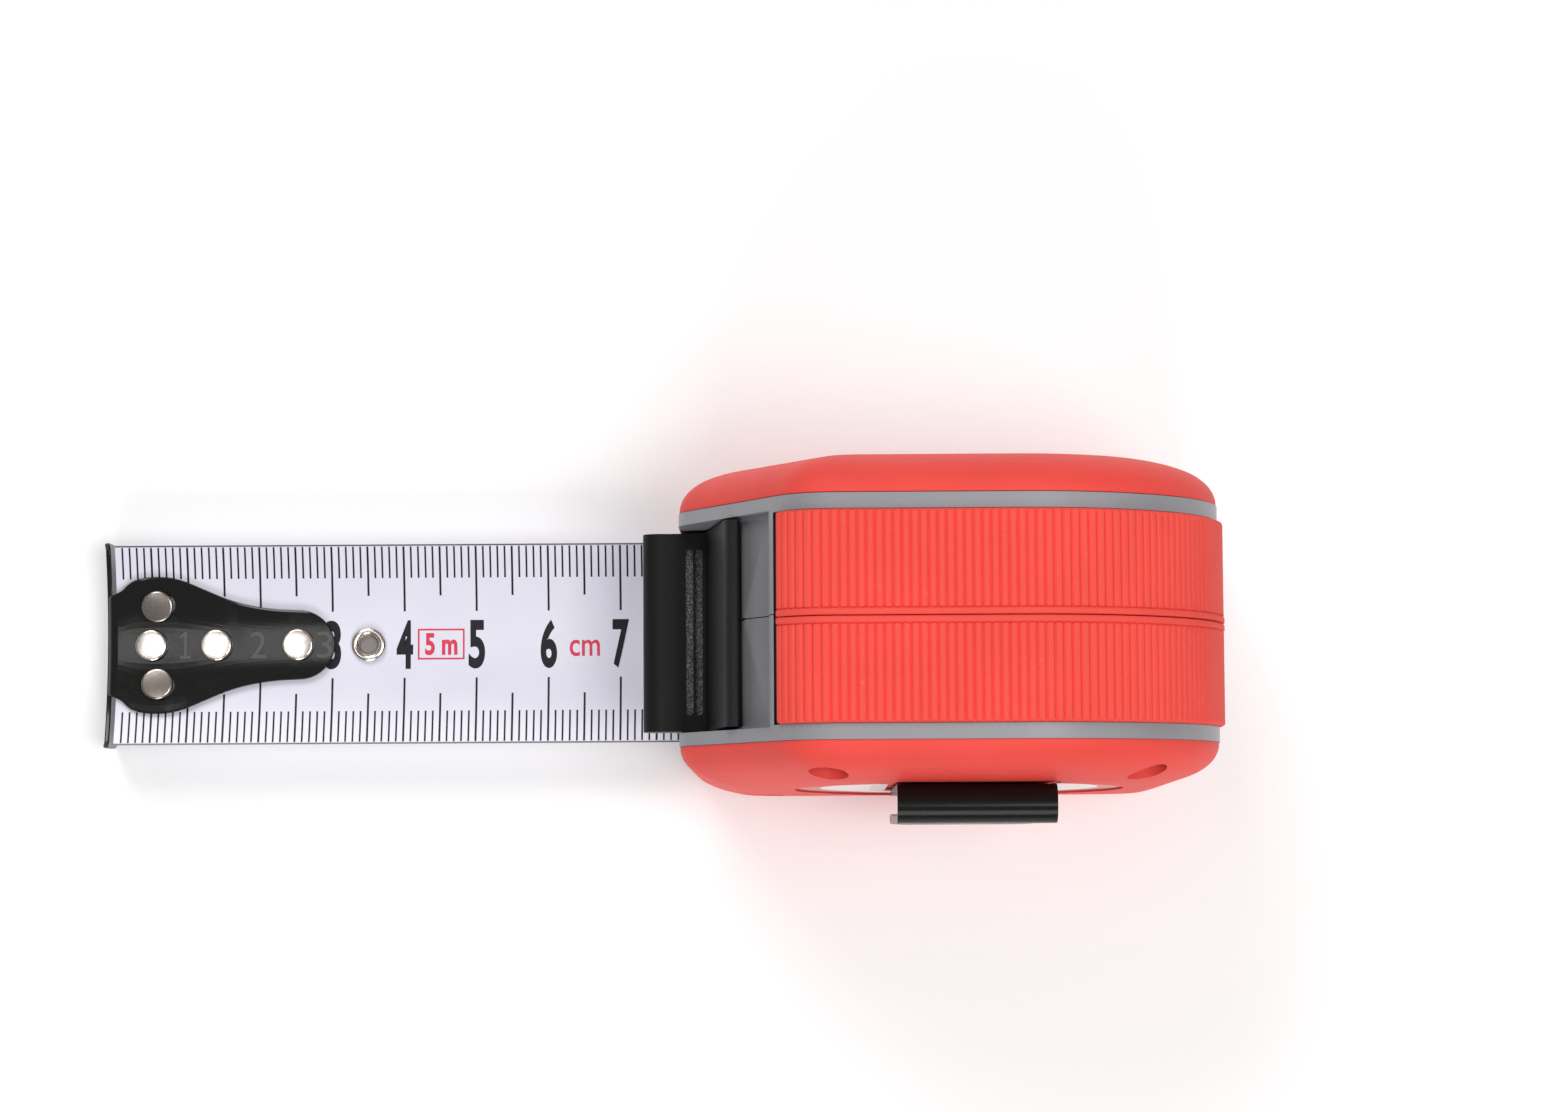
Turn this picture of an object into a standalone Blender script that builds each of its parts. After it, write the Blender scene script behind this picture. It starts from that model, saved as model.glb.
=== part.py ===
"""Pocket tape measure with a 5 m steel blade, pulled out 79 mm and locked.

Frame: +X points to the rear of the case, so the blade comes out towards -X. The belt clip is on the
-Y side, and +Z is up. The origin is on the flat base, under the spool's axis. Sizes are in millimetres
until a mesh is made, which is in metres.
"""
import math

import bmesh
import bpy
from mathutils import Matrix, Vector

MM = 0.001
GAP = 0.3                      # clearance between touching pieces

# Case
CASE_BACK = 35.0               # X of the rear face; the nose is at -CASE_BACK
CASE_TOP = 66.0
CORE_HALF = 15.2               # half width of the grey core
CORE_SIDE = 14.4               # inside half width of the core
CHANNEL_HALF = 13.5            # half width of the lock's and grip's channel
BASE_WALL = 1.8
SHELL_WALL = 2.7               # wall between the outline and the spool chamber
SEAM_LEFT = 0.35               # Y where the left core half ends
SEAM_RIGHT = 0.65              # Y where the right core half starts
SLOPE_FOOT = 38.3              # Z where the sloping front leaves the nose
SLOPE_TOP_X = -19.4            # X where the sloping front reaches the top
# Outline corners of the case: X, Z, radius
CASE_CORNERS = [
    (-CASE_BACK, 0.0, 1.5),
    (CASE_BACK, 0.0, 6.0),
    (CASE_BACK, CASE_TOP, 27.0),
    (SLOPE_TOP_X, CASE_TOP, 8.0),
    (-CASE_BACK, SLOPE_FOOT, 10.0),
]

# Side covers: inset from the outline and half width, from the rim to the flat side
COVER_RIM = CORE_HALF + GAP
COVER_HALF = 21.5
COVER_WALL = 1.7
COVER_PROFILE = [
    (0.15, COVER_RIM), (0.25, 16.4), (0.7, 17.4), (1.5, 18.4),
    (3.0, 19.5), (5.5, 20.5), (8.5, 21.2), (11.0, COVER_HALF),
]
LABEL_CENTRE = (1.5, 33.0)
LABEL_RECESS_R = 21.5
LABEL_RECESS_DEPTH = 0.6
LABEL_THICKNESS = 0.2

# Grip: a rubber band over the top and down the rear
GRIP_FRONT = -22.6
GRIP_FOOT = 8.0
GRIP_SEAT = 1.2                # depth of the channel below the outline
GRIP_PROUD = 0.7
GRIP_HALF = 13.2

# Lock
TRACK_X = -26.4                # outer face of the lock's track at height TRACK_Z
TRACK_Z = 52.0
TRACK_LEAN = math.radians(6.1) # the track leans back from vertical
TRACK_WALL = 1.35
SLOPE_SEAT = 1.3               # depth of the lock's channel below the sloping front
RIM_FRONT = -23.5              # X where that channel ends, in front of the grip
SHELF_Z = 21.6
SHELF_WALL = 1.7
LOCK_HALF = 13.1
LEG_Y = (10.2, 13.0)           # the two legs press on the blade's edges, beside the hook's path
LEG_X = (-33.0, -31.2)
LEG_FOOT = 9.9

# Spool
AXLE_Z = 33.0
COIL_OUT = 23.6
COIL_IN = 17.0
BLADE_FLAT_HALF = 14.1
DRUM_OUT = COIL_IN - GAP
DRUM_IN = 15.4
SPINDLE_R = 3.0

# Blade
BLADE_ZERO = -114.0            # X of the zero end
BLADE_T = 0.2
BLADE_Z = 5.6                  # underside on the centre line
BLADE_BEND = 40.0              # radius of the hollow section
STRIP_LENGTH = 59.0
TAIL_FROM = 52.0
TAIL_TO = 88.0
TAIL_DROP = 0.55
FORK_HALF = 2.9                 # the tail strip's front end is forked to pass the rivets' lower heads
FORK_LENGTH = 16.0

# Hook
HOOK_T = 0.7
HOOK_LIP_X = BLADE_ZERO - GAP
HOOK_LIP_FOOT = 0.6
HOOK_HALF = 14.2
RIVETS = [(5.0, 0.0), (14.0, 0.0), (25.3, 0.0), (5.9, 5.6), (5.9, -5.6)]
RIVET_R = 2.0
SHANK_R = 1.1
HOOK_TRAVEL = 1.0
EYELET_AT = 35.0

# Belt clip
CLIP_CENTRE = 2.8
CLIP_HALF = 10.0
CLIP_T = 1.0
CLIP_INNER = 20.6              # distance from the middle plane to the fixed leg
CLIP_OUTER = 25.5

SCREWS = [(-15.8, 60.6), (24.2, 54.6), (-24.0, 13.5), (28.0, 6.4)]
SCREW_HEAD_R = 2.1
SCREW_HOLE_R = 2.5
BOSS_R = 3.1

ROUND_STEPS = 32


# ---------------------------------------------------------------- outlines
def inset_corners(corners, depth):
    """Move each side of a convex outline inwards by depth and shrink its corner radii."""
    count = len(corners)
    lines = []
    for i in range(count):
        a = Vector(corners[i][:2])
        b = Vector(corners[(i + 1) % count][:2])
        along = (b - a).normalized()
        inward = Vector((-along.y, along.x))
        lines.append((a + inward * depth, along))
    result = []
    for i in range(count):
        p, d = lines[i - 1]
        q, e = lines[i]
        t = (q - p).cross(e) / d.cross(e)
        meet = p + d * t
        result.append((meet.x, meet.y, max(corners[i][2] - depth, 0.3)))
    return result


def rounded(corners, steps=6):
    """Points of an outline whose corners are replaced by arcs."""
    points = []
    count = len(corners)
    for i in range(count):
        corner = Vector(corners[i][:2])
        before = (Vector(corners[i - 1][:2]) - corner).normalized()
        after = (Vector(corners[(i + 1) % count][:2]) - corner).normalized()
        radius = corners[i][2]
        half = before.angle(after) / 2
        centre = corner + (before + after).normalized() * (radius / math.sin(half))
        first = corner + before * (radius / math.tan(half)) - centre
        last = corner + after * (radius / math.tan(half)) - centre
        turn = first.angle_signed(last)
        for k in range(steps + 1):
            angle = -turn * k / steps
            c, s = math.cos(angle), math.sin(angle)
            points.append((centre.x + first.x * c - first.y * s, centre.y + first.x * s + first.y * c))
    return points


def case_outline(depth=0.0):
    return rounded(inset_corners(CASE_CORNERS, depth))


def circle(x, z, radius, steps=ROUND_STEPS):
    return [
        (x + radius * math.cos(2 * math.pi * k / steps), z + radius * math.sin(2 * math.pi * k / steps))
        for k in range(steps)
    ]


def ribbon(path, thickness):
    """Outline of a strip of even thickness that lies to the left of a path."""
    left = []
    for i, point in enumerate(path):
        p = Vector(point)
        before = Vector(path[max(i - 1, 0)])
        after = Vector(path[min(i + 1, len(path) - 1)])
        along = (after - before).normalized()
        side = Vector((-along.y, along.x))
        if 0 < i < len(path) - 1:
            bend = (p - before).normalized().angle((after - p).normalized())
            side = side / math.cos(bend / 2)
        left.append(tuple(p + side * thickness))
    return list(path) + left[::-1]


def arc(cx, cz, radius, start, end, steps=8):
    return [
        (cx + radius * math.cos(math.radians(start + (end - start) * k / steps)),
         cz + radius * math.sin(math.radians(start + (end - start) * k / steps)))
        for k in range(steps + 1)
    ]


def track_x(z, offset=0.0):
    """X of the lock track's outer face at a height, moved by an offset."""
    return TRACK_X + (z - TRACK_Z) * math.tan(TRACK_LEAN) + offset


def slope_rise():
    """Rise of the sloping front per millimetre of X."""
    return (CASE_TOP - SLOPE_FOOT) / (SLOPE_TOP_X + CASE_BACK)


def track_meets_slope(depth, offset):
    """Point where the track's face, moved by an offset, meets a line below the sloping front."""
    rise = slope_rise()
    foot_z = SLOPE_FOOT - depth * math.hypot(1, rise)
    lean = math.tan(TRACK_LEAN)
    z = (foot_z + rise * (CASE_BACK + TRACK_X + offset - TRACK_Z * lean)) / (1 - rise * lean)
    return track_x(z, offset), z


def section_z(y):
    """Height of the blade's underside across its hollow section."""
    return BLADE_Z + BLADE_BEND - math.sqrt(BLADE_BEND ** 2 - y ** 2)


# ---------------------------------------------------------------- meshes
def mesh_from(name, vertices, faces):
    mesh = bpy.data.meshes.new(name)
    mesh.from_pydata([tuple(c * MM for c in v) for v in vertices], [], faces)
    bm = bmesh.new()
    bm.from_mesh(mesh)
    bmesh.ops.recalc_face_normals(bm, faces=bm.faces)
    if bm.calc_volume(signed=True) < 0:
        bmesh.ops.reverse_faces(bm, faces=bm.faces)
    bm.to_mesh(mesh)
    bm.free()
    return mesh


def loft(name, rings):
    """Closed solid through rings with equal point counts, capped at both ends."""
    count = len(rings[0])
    vertices = [point for ring in rings for point in ring]
    faces = []
    for r in range(len(rings) - 1):
        for k in range(count):
            n = (k + 1) % count
            faces.append((r * count + k, r * count + n, (r + 1) * count + n, (r + 1) * count + k))
    faces.append(tuple(range(count))[::-1])
    faces.append(tuple(range((len(rings) - 1) * count, len(rings) * count)))
    return mesh_from(name, vertices, faces)


def prism_y(name, outline, low, high):
    return loft(name, [[(x, y, z) for x, z in outline] for y in (low, high)])


def prism_x(name, outline, low, high):
    return loft(name, [[(x, y, z) for y, z in outline] for x in (low, high)])


def prism_z(name, outline, low, high):
    return loft(name, [[(x, y, z) for x, y in outline] for z in (low, high)])


def box(name, low, high):
    outline = [(low[0], low[2]), (high[0], low[2]), (high[0], high[2]), (low[0], high[2])]
    return prism_y(name, outline, low[1], high[1])


def turned(name, profile, place, steps=ROUND_STEPS):
    """Turn a closed (radius, height) profile about its local Z axis and put it in place."""
    vertices = []
    index = []
    for radius, height in profile:
        if radius == 0:
            index.append([len(vertices)] * steps)
            vertices.append(place @ Vector((0, 0, height)))
        else:
            index.append(list(range(len(vertices), len(vertices) + steps)))
            for k in range(steps):
                angle = 2 * math.pi * k / steps
                vertices.append(place @ Vector((radius * math.cos(angle), radius * math.sin(angle), height)))
    faces = []
    for r in range(len(profile)):
        low, high = index[r], index[(r + 1) % len(profile)]
        if len(set(low)) == 1 and len(set(high)) == 1:
            continue
        for k in range(steps):
            n = (k + 1) % steps
            face = [low[k], low[n], high[n], high[k]]
            faces.append(tuple(dict.fromkeys(face)))
    return mesh_from(name, vertices, faces)


def along_y(x, z, side=1):
    """Placement whose local Z points along +Y or -Y at a point of the XZ plane."""
    return Matrix.Translation((x, 0, z)) @ Matrix.Rotation(-side * math.pi / 2, 4, "X")


def rod_y(name, x, z, radius, low, high, steps=ROUND_STEPS):
    return prism_y(name, circle(x, z, radius, steps), low, high)


def combine(mesh, operation, others):
    """Boolean a mesh with others, one after another."""
    for other in others:
        target = bpy.data.objects.new("target", mesh)
        tool = bpy.data.objects.new("tool", other)
        for obj in (target, tool):
            bpy.context.scene.collection.objects.link(obj)
        modifier = target.modifiers.new("boolean", "BOOLEAN")
        modifier.operation = operation
        modifier.solver = "EXACT"
        modifier.object = tool
        graph = bpy.context.evaluated_depsgraph_get()
        mesh = bpy.data.meshes.new_from_object(target.evaluated_get(graph))
        for obj in (target, tool):
            bpy.data.objects.remove(obj)
    return mesh


def cut(mesh, *tools):
    return combine(mesh, "DIFFERENCE", tools)


def unite(mesh, *tools):
    return combine(mesh, "UNION", tools)


def keep(mesh, *tools):
    return combine(mesh, "INTERSECT", tools)


# ---------------------------------------------------------------- materials and objects
MATERIALS = {
    "red_shell": ((0.62, 0.055, 0.042), 0.42, 0.0),
    "red_rubber": ((0.74, 0.085, 0.07), 0.55, 0.0),
    "grey_core": ((0.25, 0.26, 0.28), 0.4, 0.0),
    "black_lock": ((0.02, 0.018, 0.018), 0.45, 0.0),
    "black_paint": ((0.008, 0.008, 0.008), 0.15, 0.2),
    "steel": ((0.6, 0.57, 0.52), 0.25, 1.0),
    "spring_steel": ((0.2, 0.22, 0.27), 0.3, 1.0),
    "blade_lacquer": ((0.72, 0.71, 0.80), 0.35, 0.0),
    "label_film": ((0.8, 0.79, 0.78), 0.4, 0.0),
    "inner_plastic": ((0.04, 0.04, 0.045), 0.5, 0.0),
    "brake_rubber": ((0.03, 0.03, 0.03), 0.8, 0.0),
}


def material(slot):
    if slot in bpy.data.materials:
        return bpy.data.materials[slot]
    colour, roughness, metallic = MATERIALS[slot]
    made = bpy.data.materials.new(slot)
    made.use_nodes = True
    shader = made.node_tree.nodes["Principled BSDF"]
    shader.inputs["Base Color"].default_value = (*colour, 1)
    shader.inputs["Roughness"].default_value = roughness
    shader.inputs["Metallic"].default_value = metallic
    return made


def add(name, mesh, slot, parent=None):
    """Put a mesh in the scene as a named part, under the empty on its joint's axis."""
    mesh.name = name
    obj = bpy.data.objects.new(name, mesh)
    bpy.context.scene.collection.objects.link(obj)
    mesh.materials.clear()
    mesh.materials.append(material(slot))
    mesh.shade_smooth()
    mesh.set_sharp_from_angle(angle=math.radians(35))
    if parent:
        obj.parent = parent
        obj.matrix_parent_inverse = parent.matrix_world.inverted()
    return obj


def axis_empty(name, x, y, z):
    empty = bpy.data.objects.new(name, None)
    empty.empty_display_size = 0.01
    bpy.context.scene.collection.objects.link(empty)
    empty.location = (x * MM, y * MM, z * MM)
    bpy.context.view_layer.update()
    return empty


# ---------------------------------------------------------------- case
def channel_band(name, inner, outer, half):
    """Ring around the outline, kept where the grip runs: over the top and down the rear."""
    ring = cut(
        prism_y(name, case_outline(-outer), -half, half),
        prism_y(name, case_outline(inner), -half - 5, half + 5),
    )
    far = 80.0
    behind = box(name, (GRIP_FRONT, -far, GRIP_FOOT), (far, far, far + CASE_TOP))
    under = box(name, (GRIP_FRONT - 1, -far, -far), (CASE_BACK - 12, far, CASE_TOP / 2))
    return cut(keep(ring, behind), under)


def chamber_outline():
    """Spool chamber in XZ, behind the shelf and the lock's track."""
    inner = CASE_BACK - SHELL_WALL
    top = CASE_TOP - SHELL_WALL
    nose = -CASE_BACK + 1.7
    shelf = SHELF_Z - SHELF_WALL
    return rounded([
        (nose, BASE_WALL, 0.5),
        (inner, BASE_WALL, 3.0),
        (inner, top, 24.3),
        (-17.8, top, 3.0),
        (*track_meets_slope(SHELL_WALL, TRACK_WALL), 1.0),
        (track_x(shelf, TRACK_WALL), shelf, 0.5),
        (nose, shelf, 0.5),
    ], 6)


def lock_space():
    """Room for the lock between the cheeks, open to the front."""
    corner = track_meets_slope(SLOPE_SEAT, 0.0)
    return [
        (-50.0, SHELF_Z),
        (track_x(SHELF_Z), SHELF_Z),
        corner,
        (RIM_FRONT, corner[1] + (RIM_FRONT - corner[0]) * slope_rise()),
        (RIM_FRONT, CASE_TOP + 5),
        (-50.0, CASE_TOP + 5),
    ]


def leg_window(side):
    low, high = sorted((side * (LEG_Y[0] - 0.5), side * (LEG_Y[1] + 0.45)))
    return box("leg_window", (LEG_X[0] - 0.35, low, 15), (LEG_X[1] + 1.4, high, 25))


def case_half(side):
    """One half of the grey core: a tray with cheeks, track, shelf, mouth, bosses and screw holes."""
    name = "case_left" if side < 0 else "case_right"
    seam = SEAM_LEFT if side < 0 else SEAM_RIGHT
    far = side * CORE_HALF
    body = prism_y(name, case_outline(), min(seam, far), max(seam, far))
    body = cut(
        body,
        prism_y("chamber", chamber_outline(), -CORE_SIDE, CORE_SIDE),
        channel_band("grip_seat", GRIP_SEAT, 3.0, CHANNEL_HALF),
        prism_y("lock_space", lock_space(), -CHANNEL_HALF, CHANNEL_HALF),
        leg_window(side),
        box("mouth", (-40, -CORE_SIDE, 4.6), (-32, CORE_SIDE, 9.4)),
        box("bumper_seat", (-40, -9.3, 1.2), (-33.9, 9.3, 6)),
    )
    bosses = []
    for x, z in SCREWS:
        low, high = sorted((side * (CORE_SIDE + 0.4), seam))
        bosses.append(rod_y("boss", x, z, BOSS_R, low, high, 20))
    low, high = sorted((side * 12.9, side * (CORE_SIDE + 0.4)))
    socket = cut(
        rod_y("socket", 0, AXLE_Z, 5.0, low, high),
        rod_y("socket_bore", 0, AXLE_Z, SPINDLE_R + GAP, -CORE_SIDE, CORE_SIDE),
    )
    step = box("step", (-33.6, min(seam, side * 14.4), 1.2), (-21.0, max(seam, side * 14.4), 3.6))
    body = unite(body, *bosses, socket, step)
    drills = []
    for x, z in SCREWS:
        low, high = (-20.0, 5.0) if side < 0 else (0.0, 9.5)
        drills.append(rod_y("drill", x, z, 1.5, low, high, 16))
    return cut(body, *drills, box("bumper_seat", (-40, -9.3, 1.2), (-33.9, 9.3, 6)))


def bulge(side, depth):
    """The cover's outer shape as a full solid, made lower by a depth."""
    return loft("bulge", [
        [(x, side * (half - depth), z) for x, z in case_outline(inset)] for inset, half in COVER_PROFILE
    ])


def side_cover(side):
    """Red moulded side: a hollow pillow with a round label recess, a boss and screw holes."""
    name = "side_cover_left" if side < 0 else "side_cover_right"
    outer = list(COVER_PROFILE)
    inner = [(inset + COVER_WALL, max(half - COVER_WALL, COVER_RIM)) for inset, half in outer]
    inner = [(inner[0][0], COVER_RIM)] + inner[2:]
    rings = [
        [(x, side * half, z) for x, z in case_outline(inset)]
        for inset, half in inner[::-1] + outer
    ]
    cover = loft(name, rings)
    x, z = LABEL_CENTRE
    floor = COVER_HALF - LABEL_RECESS_DEPTH
    low, high = sorted((side * floor, side * (COVER_HALF + 3)))
    cover = cut(cover, rod_y("recess", x, z, LABEL_RECESS_R, low, high, 48))
    if side > 0:
        return cover
    posts = [rod_y("post", x, z, 3.4, -20.3, -COVER_RIM, 20) for x, z in SCREWS]
    posts = [keep(post, prism_y("bound", case_outline(1.0), -30, 0), bulge(side, 0.4)) for post in posts]
    boss = rod_y("clip_boss", CLIP_CENTRE, AXLE_Z, 3.6, -20.8, -COVER_RIM, 24)
    pad = keep(box("pad", (CLIP_CENTRE - 12, -20.7, 16), (CLIP_CENTRE + 12, -18.6, 60)), bulge(side, 0.4))
    cover = unite(cover, *posts, boss, pad)
    holes = []
    for x, z in SCREWS:
        holes.append(rod_y("well", x, z, SCREW_HOLE_R, -30, -17.6, 24))
        holes.append(rod_y("hole", x, z, 1.5, -18, -10, 16))
    slot = box("clip_seat", (CLIP_CENTRE - 10.5, -30, 21), (CLIP_CENTRE + 10.5, 0.3 - CLIP_INNER, 80))
    tapped = rod_y("tapped", CLIP_CENTRE, AXLE_Z, 1.5, -30, -16.2, 16)
    return cut(cover, *holes, slot, tapped)


def grip(side):
    low, high = sorted((side * 0.15, side * (GRIP_HALF + 5)))
    half = channel_band("grip", GRIP_SEAT - GAP, GRIP_PROUD, GRIP_HALF)
    half = keep(half, box("half", (-60, low, -10), (60, high, 90)))
    trim = box("trim", (GRIP_FRONT - 5, -40, -20), (GRIP_FRONT + GAP, 40, 90))
    foot = box("foot", (0, -40, -20), (60, 40, GRIP_FOOT + GAP))
    return cut(half, trim, foot)


def label(side):
    x, z = LABEL_CENTRE
    low = COVER_HALF - LABEL_RECESS_DEPTH + GAP
    low, high = sorted((side * low, side * (low + LABEL_THICKNESS)))
    disc = rod_y("label", x, z, LABEL_RECESS_R - 0.4, low, high, 48)
    if side > 0:
        return disc
    reach = CLIP_HALF + 0.8
    return cut(disc, box("clip_gap", (CLIP_CENTRE - reach, -30, 20.7), (CLIP_CENTRE + reach, 0, 80)))


# ---------------------------------------------------------------- lock
def lock_button():
    """Slider with a thumb ledge, two grip grooves and a leg that reaches down to the blade."""
    back = GAP + 0.06
    outline = [
        (track_x(SHELF_Z + GAP, -back), SHELF_Z + GAP),
        (track_x(51.6, -back), 51.6),
        (-27.2, 52.3),
        (-28.1, 52.3),
        (-28.6, 51.8),
        (-31.45, 32.3),
        (-32.25, 31.9),
        (-34.85, 31.0),
        (-36.55, 30.9),
    ]
    outline += arc(-37.85, 29.0, 2.1, 75, 200, 8)
    outline += arc(-38.15, 27.4, 1.6, 200, 265, 3)
    outline += [(-35.15, 25.2), (-34.75, 24.4), (-34.75, SHELF_Z + GAP)]
    body = prism_y("lock_button", outline[::-1], -LOCK_HALF, LOCK_HALF)
    legs = []
    for side in (-1, 1):
        low, high = sorted((side * LEG_Y[0], side * LEG_Y[1]))
        legs.append(box("leg", (LEG_X[0], low, LEG_FOOT), (LEG_X[1], high, SHELF_Z + 2)))
    body = unite(body, *legs)
    grooves = []
    for x in (-32.55, -33.75):
        ends = 11.0
        capsule = arc(x, ends - 0.45, 0.45, 0, 180, 6) + arc(x, -ends + 0.45, 0.45, 180, 360, 6)
        grooves.append(prism_z("groove", capsule, 31.0, 34.0))
    return cut(body, *grooves)


def brake_pad(side):
    """Rubber shoe under one leg, just above the blade's edge."""
    low, high = sorted((side * LEG_Y[0], side * LEG_Y[1]))
    floor = section_z(LEG_Y[1]) + BLADE_T + GAP
    return box("brake_pad", (LEG_X[0], low, floor), (LEG_X[1], high, LEG_FOOT - GAP))


# ---------------------------------------------------------------- spool
def spool_drum():
    """Cup that the blade winds on, open at +Y, with a web and a bore at -Y."""
    profile = [
        (SPINDLE_R + GAP, -12.4), (DRUM_OUT, -12.4), (DRUM_OUT, 13.5),
        (DRUM_IN, 13.5), (DRUM_IN, -11.3), (5.0, -11.3), (5.0, -9.8), (SPINDLE_R + GAP, -9.8),
    ]
    return turned("spool_drum", profile, along_y(0, AXLE_Z), 48)


def spool_cap():
    profile = [(SPINDLE_R + GAP, 11.7), (DRUM_IN - GAP, 11.7), (DRUM_IN - GAP, 12.5), (SPINDLE_R + GAP, 12.5)]
    return turned("spool_cap", profile, along_y(0, AXLE_Z), 48)


def blade_coil():
    """The wound blade: a ring with a fine step at each end face for the windings."""
    half = BLADE_FLAT_HALF
    middle = (COIL_IN + COIL_OUT) / 2
    profile = [
        (COIL_IN, -half), (middle, -half + 0.2), (COIL_OUT, -half),
        (COIL_OUT, half), (middle, half - 0.2), (COIL_IN, half),
    ]
    return turned("blade_coil", profile, along_y(0, AXLE_Z), 48)


def mainspring():
    """Flat spiral spring from the spindle out to just inside the drum."""
    turns, per_turn = 6, 16
    first, last = SPINDLE_R + 0.7, DRUM_IN - 0.8
    path = []
    for k in range(turns * per_turn + 1):
        part = k / (turns * per_turn)
        angle = 2 * math.pi * turns * part
        radius = first + (last - first) * part
        path.append((radius * math.cos(angle), AXLE_Z + radius * math.sin(angle)))
    return prism_y("mainspring", ribbon(path, 0.25), -9.0, 11.0)


def spindle():
    body = rod_y("spindle", 0, AXLE_Z, SPINDLE_R, -13.7, 13.7, 24)
    slot = box("slot", (-0.3, -9.5, AXLE_Z - 1.5), (10, 11.5, AXLE_Z - 1.0))
    return cut(body, slot)


# ---------------------------------------------------------------- blade
def hollow_section(half, low, thickness, steps=12):
    """Closed YZ outline of a sheet that follows the blade's hollow section."""
    ys = [-half + 2 * half * k / steps for k in range(steps + 1)]
    under = [(y, section_z(y) + low) for y in ys]
    over = [(y, section_z(y) + low + thickness) for y in reversed(ys)]
    return under + over


def blade_half_width():
    return BLADE_BEND * math.sin(BLADE_FLAT_HALF / BLADE_BEND)


def upright(x, y):
    """Placement on the blade's underside, square to its section."""
    lean = math.asin(y / BLADE_BEND)
    return Matrix.Translation((x, y, section_z(y))) @ Matrix.Rotation(lean, 4, "X")


def drill(at, y, radius, steps=16):
    return turned("drill", [(0, -2), (radius, -2), (radius, 3), (0, 3)], upright(BLADE_ZERO + at, y), steps)


def blade():
    outline = hollow_section(blade_half_width(), 0, BLADE_T)
    strip = prism_x("blade", outline, BLADE_ZERO, BLADE_ZERO + STRIP_LENGTH)
    holes = [drill(at, y, SHANK_R + GAP) for at, y in RIVETS]
    return cut(strip, *holes, drill(EYELET_AT, 0, 1.9 + GAP))


def blade_tail():
    outline = hollow_section(blade_half_width(), -TAIL_DROP, BLADE_T)
    front = BLADE_ZERO + TAIL_FROM
    strip = prism_x("blade_tail", outline, front, BLADE_ZERO + TAIL_TO)
    return cut(strip, box("fork", (front - 1, -FORK_HALF, 0), (front + FORK_LENGTH, FORK_HALF, 10)))


def hook_outline():
    """Hook plate from above: flared root that narrows to a round tongue."""
    half = [
        (-1.0, 7.0), (1.0, 7.4), (2.0, 8.6), (4.2, 9.4), (7.0, 9.4), (9.5, 8.9),
        (12.5, 7.6), (15.5, 6.3), (18.5, 5.5), (22.0, 5.0), (25.5, 4.8),
    ]
    side = [(BLADE_ZERO + at, y) for at, y in half]
    nose = arc(BLADE_ZERO + 25.5, 0, 4.8, 90, -90, 10)[1:-1]
    return [(x, -y) for x, y in side] + nose[::-1] + side[::-1]


def hook():
    low = BLADE_T + GAP
    sheet = prism_x("hook", hollow_section(HOOK_HALF, low, HOOK_T), HOOK_LIP_X - 0.5, BLADE_ZERO + 32)
    sheet = keep(sheet, prism_z("outline", hook_outline(), 0, 20))
    top = section_z(HOOK_HALF) + low + HOOK_T
    lip = [
        (-HOOK_HALF + 2.5, HOOK_LIP_FOOT), (HOOK_HALF - 2.5, HOOK_LIP_FOOT),
        (HOOK_HALF, HOOK_LIP_FOOT + 2.5), (HOOK_HALF, top - 0.8), (HOOK_HALF - 0.6, top - 0.2),
        *((y, section_z(y) + low + HOOK_T - 0.06) for y in (6.6, 3.3, 0.0, -3.3, -6.6)),
        (-HOOK_HALF + 0.6, top - 0.2), (-HOOK_HALF, top - 0.8), (-HOOK_HALF, HOOK_LIP_FOOT + 2.5),
    ]
    plate = prism_x("lip", lip, HOOK_LIP_X - 1.0, HOOK_LIP_X)
    body = unite(sheet, plate)
    slots = []
    for at, y in RIVETS:
        radius = SHANK_R + GAP
        x = BLADE_ZERO + at
        capsule = arc(x, y, radius, 90, 270, 8) + arc(x + HOOK_TRAVEL, y, radius, -90, 90, 8)
        slots.append(prism_z("slot", capsule, 0, 20))
    return cut(body, *slots)


def hook_rivet(at, y):
    """Rivet through the blade, with a head above the hook and one below the blade."""
    seat = BLADE_T + GAP + HOOK_T + GAP
    profile = [
        (0, -1.1), (1.5, -0.9), (1.8, -GAP), (SHANK_R, -GAP), (SHANK_R, seat),
        (RIVET_R, seat), (RIVET_R, seat + 0.45), (1.3, seat + 0.7), (0, seat + 0.75),
    ]
    return turned("hook_rivet", profile, upright(BLADE_ZERO + at, y), 24)


def blade_eyelet():
    top = BLADE_T + GAP
    profile = [
        (1.25, -0.8), (2.3, -0.8), (2.4, -GAP), (1.9, -GAP), (1.9, top),
        (2.4, top), (2.2, top + 0.5), (1.7, top + 0.6), (1.25, top + 0.3),
    ]
    return turned("blade_eyelet", profile, upright(BLADE_ZERO + EYELET_AT, 0), 24)


# ---------------------------------------------------------------- small pieces
def mouth_plate():
    return box("mouth_plate", (-33.0, -12.0, 3.9), (-21.5, 12.0, 4.5))


def mouth_bumper():
    return box("mouth_bumper", (-35.3, -9.0, 1.5), (-34.2, 9.0, 4.3))


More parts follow.
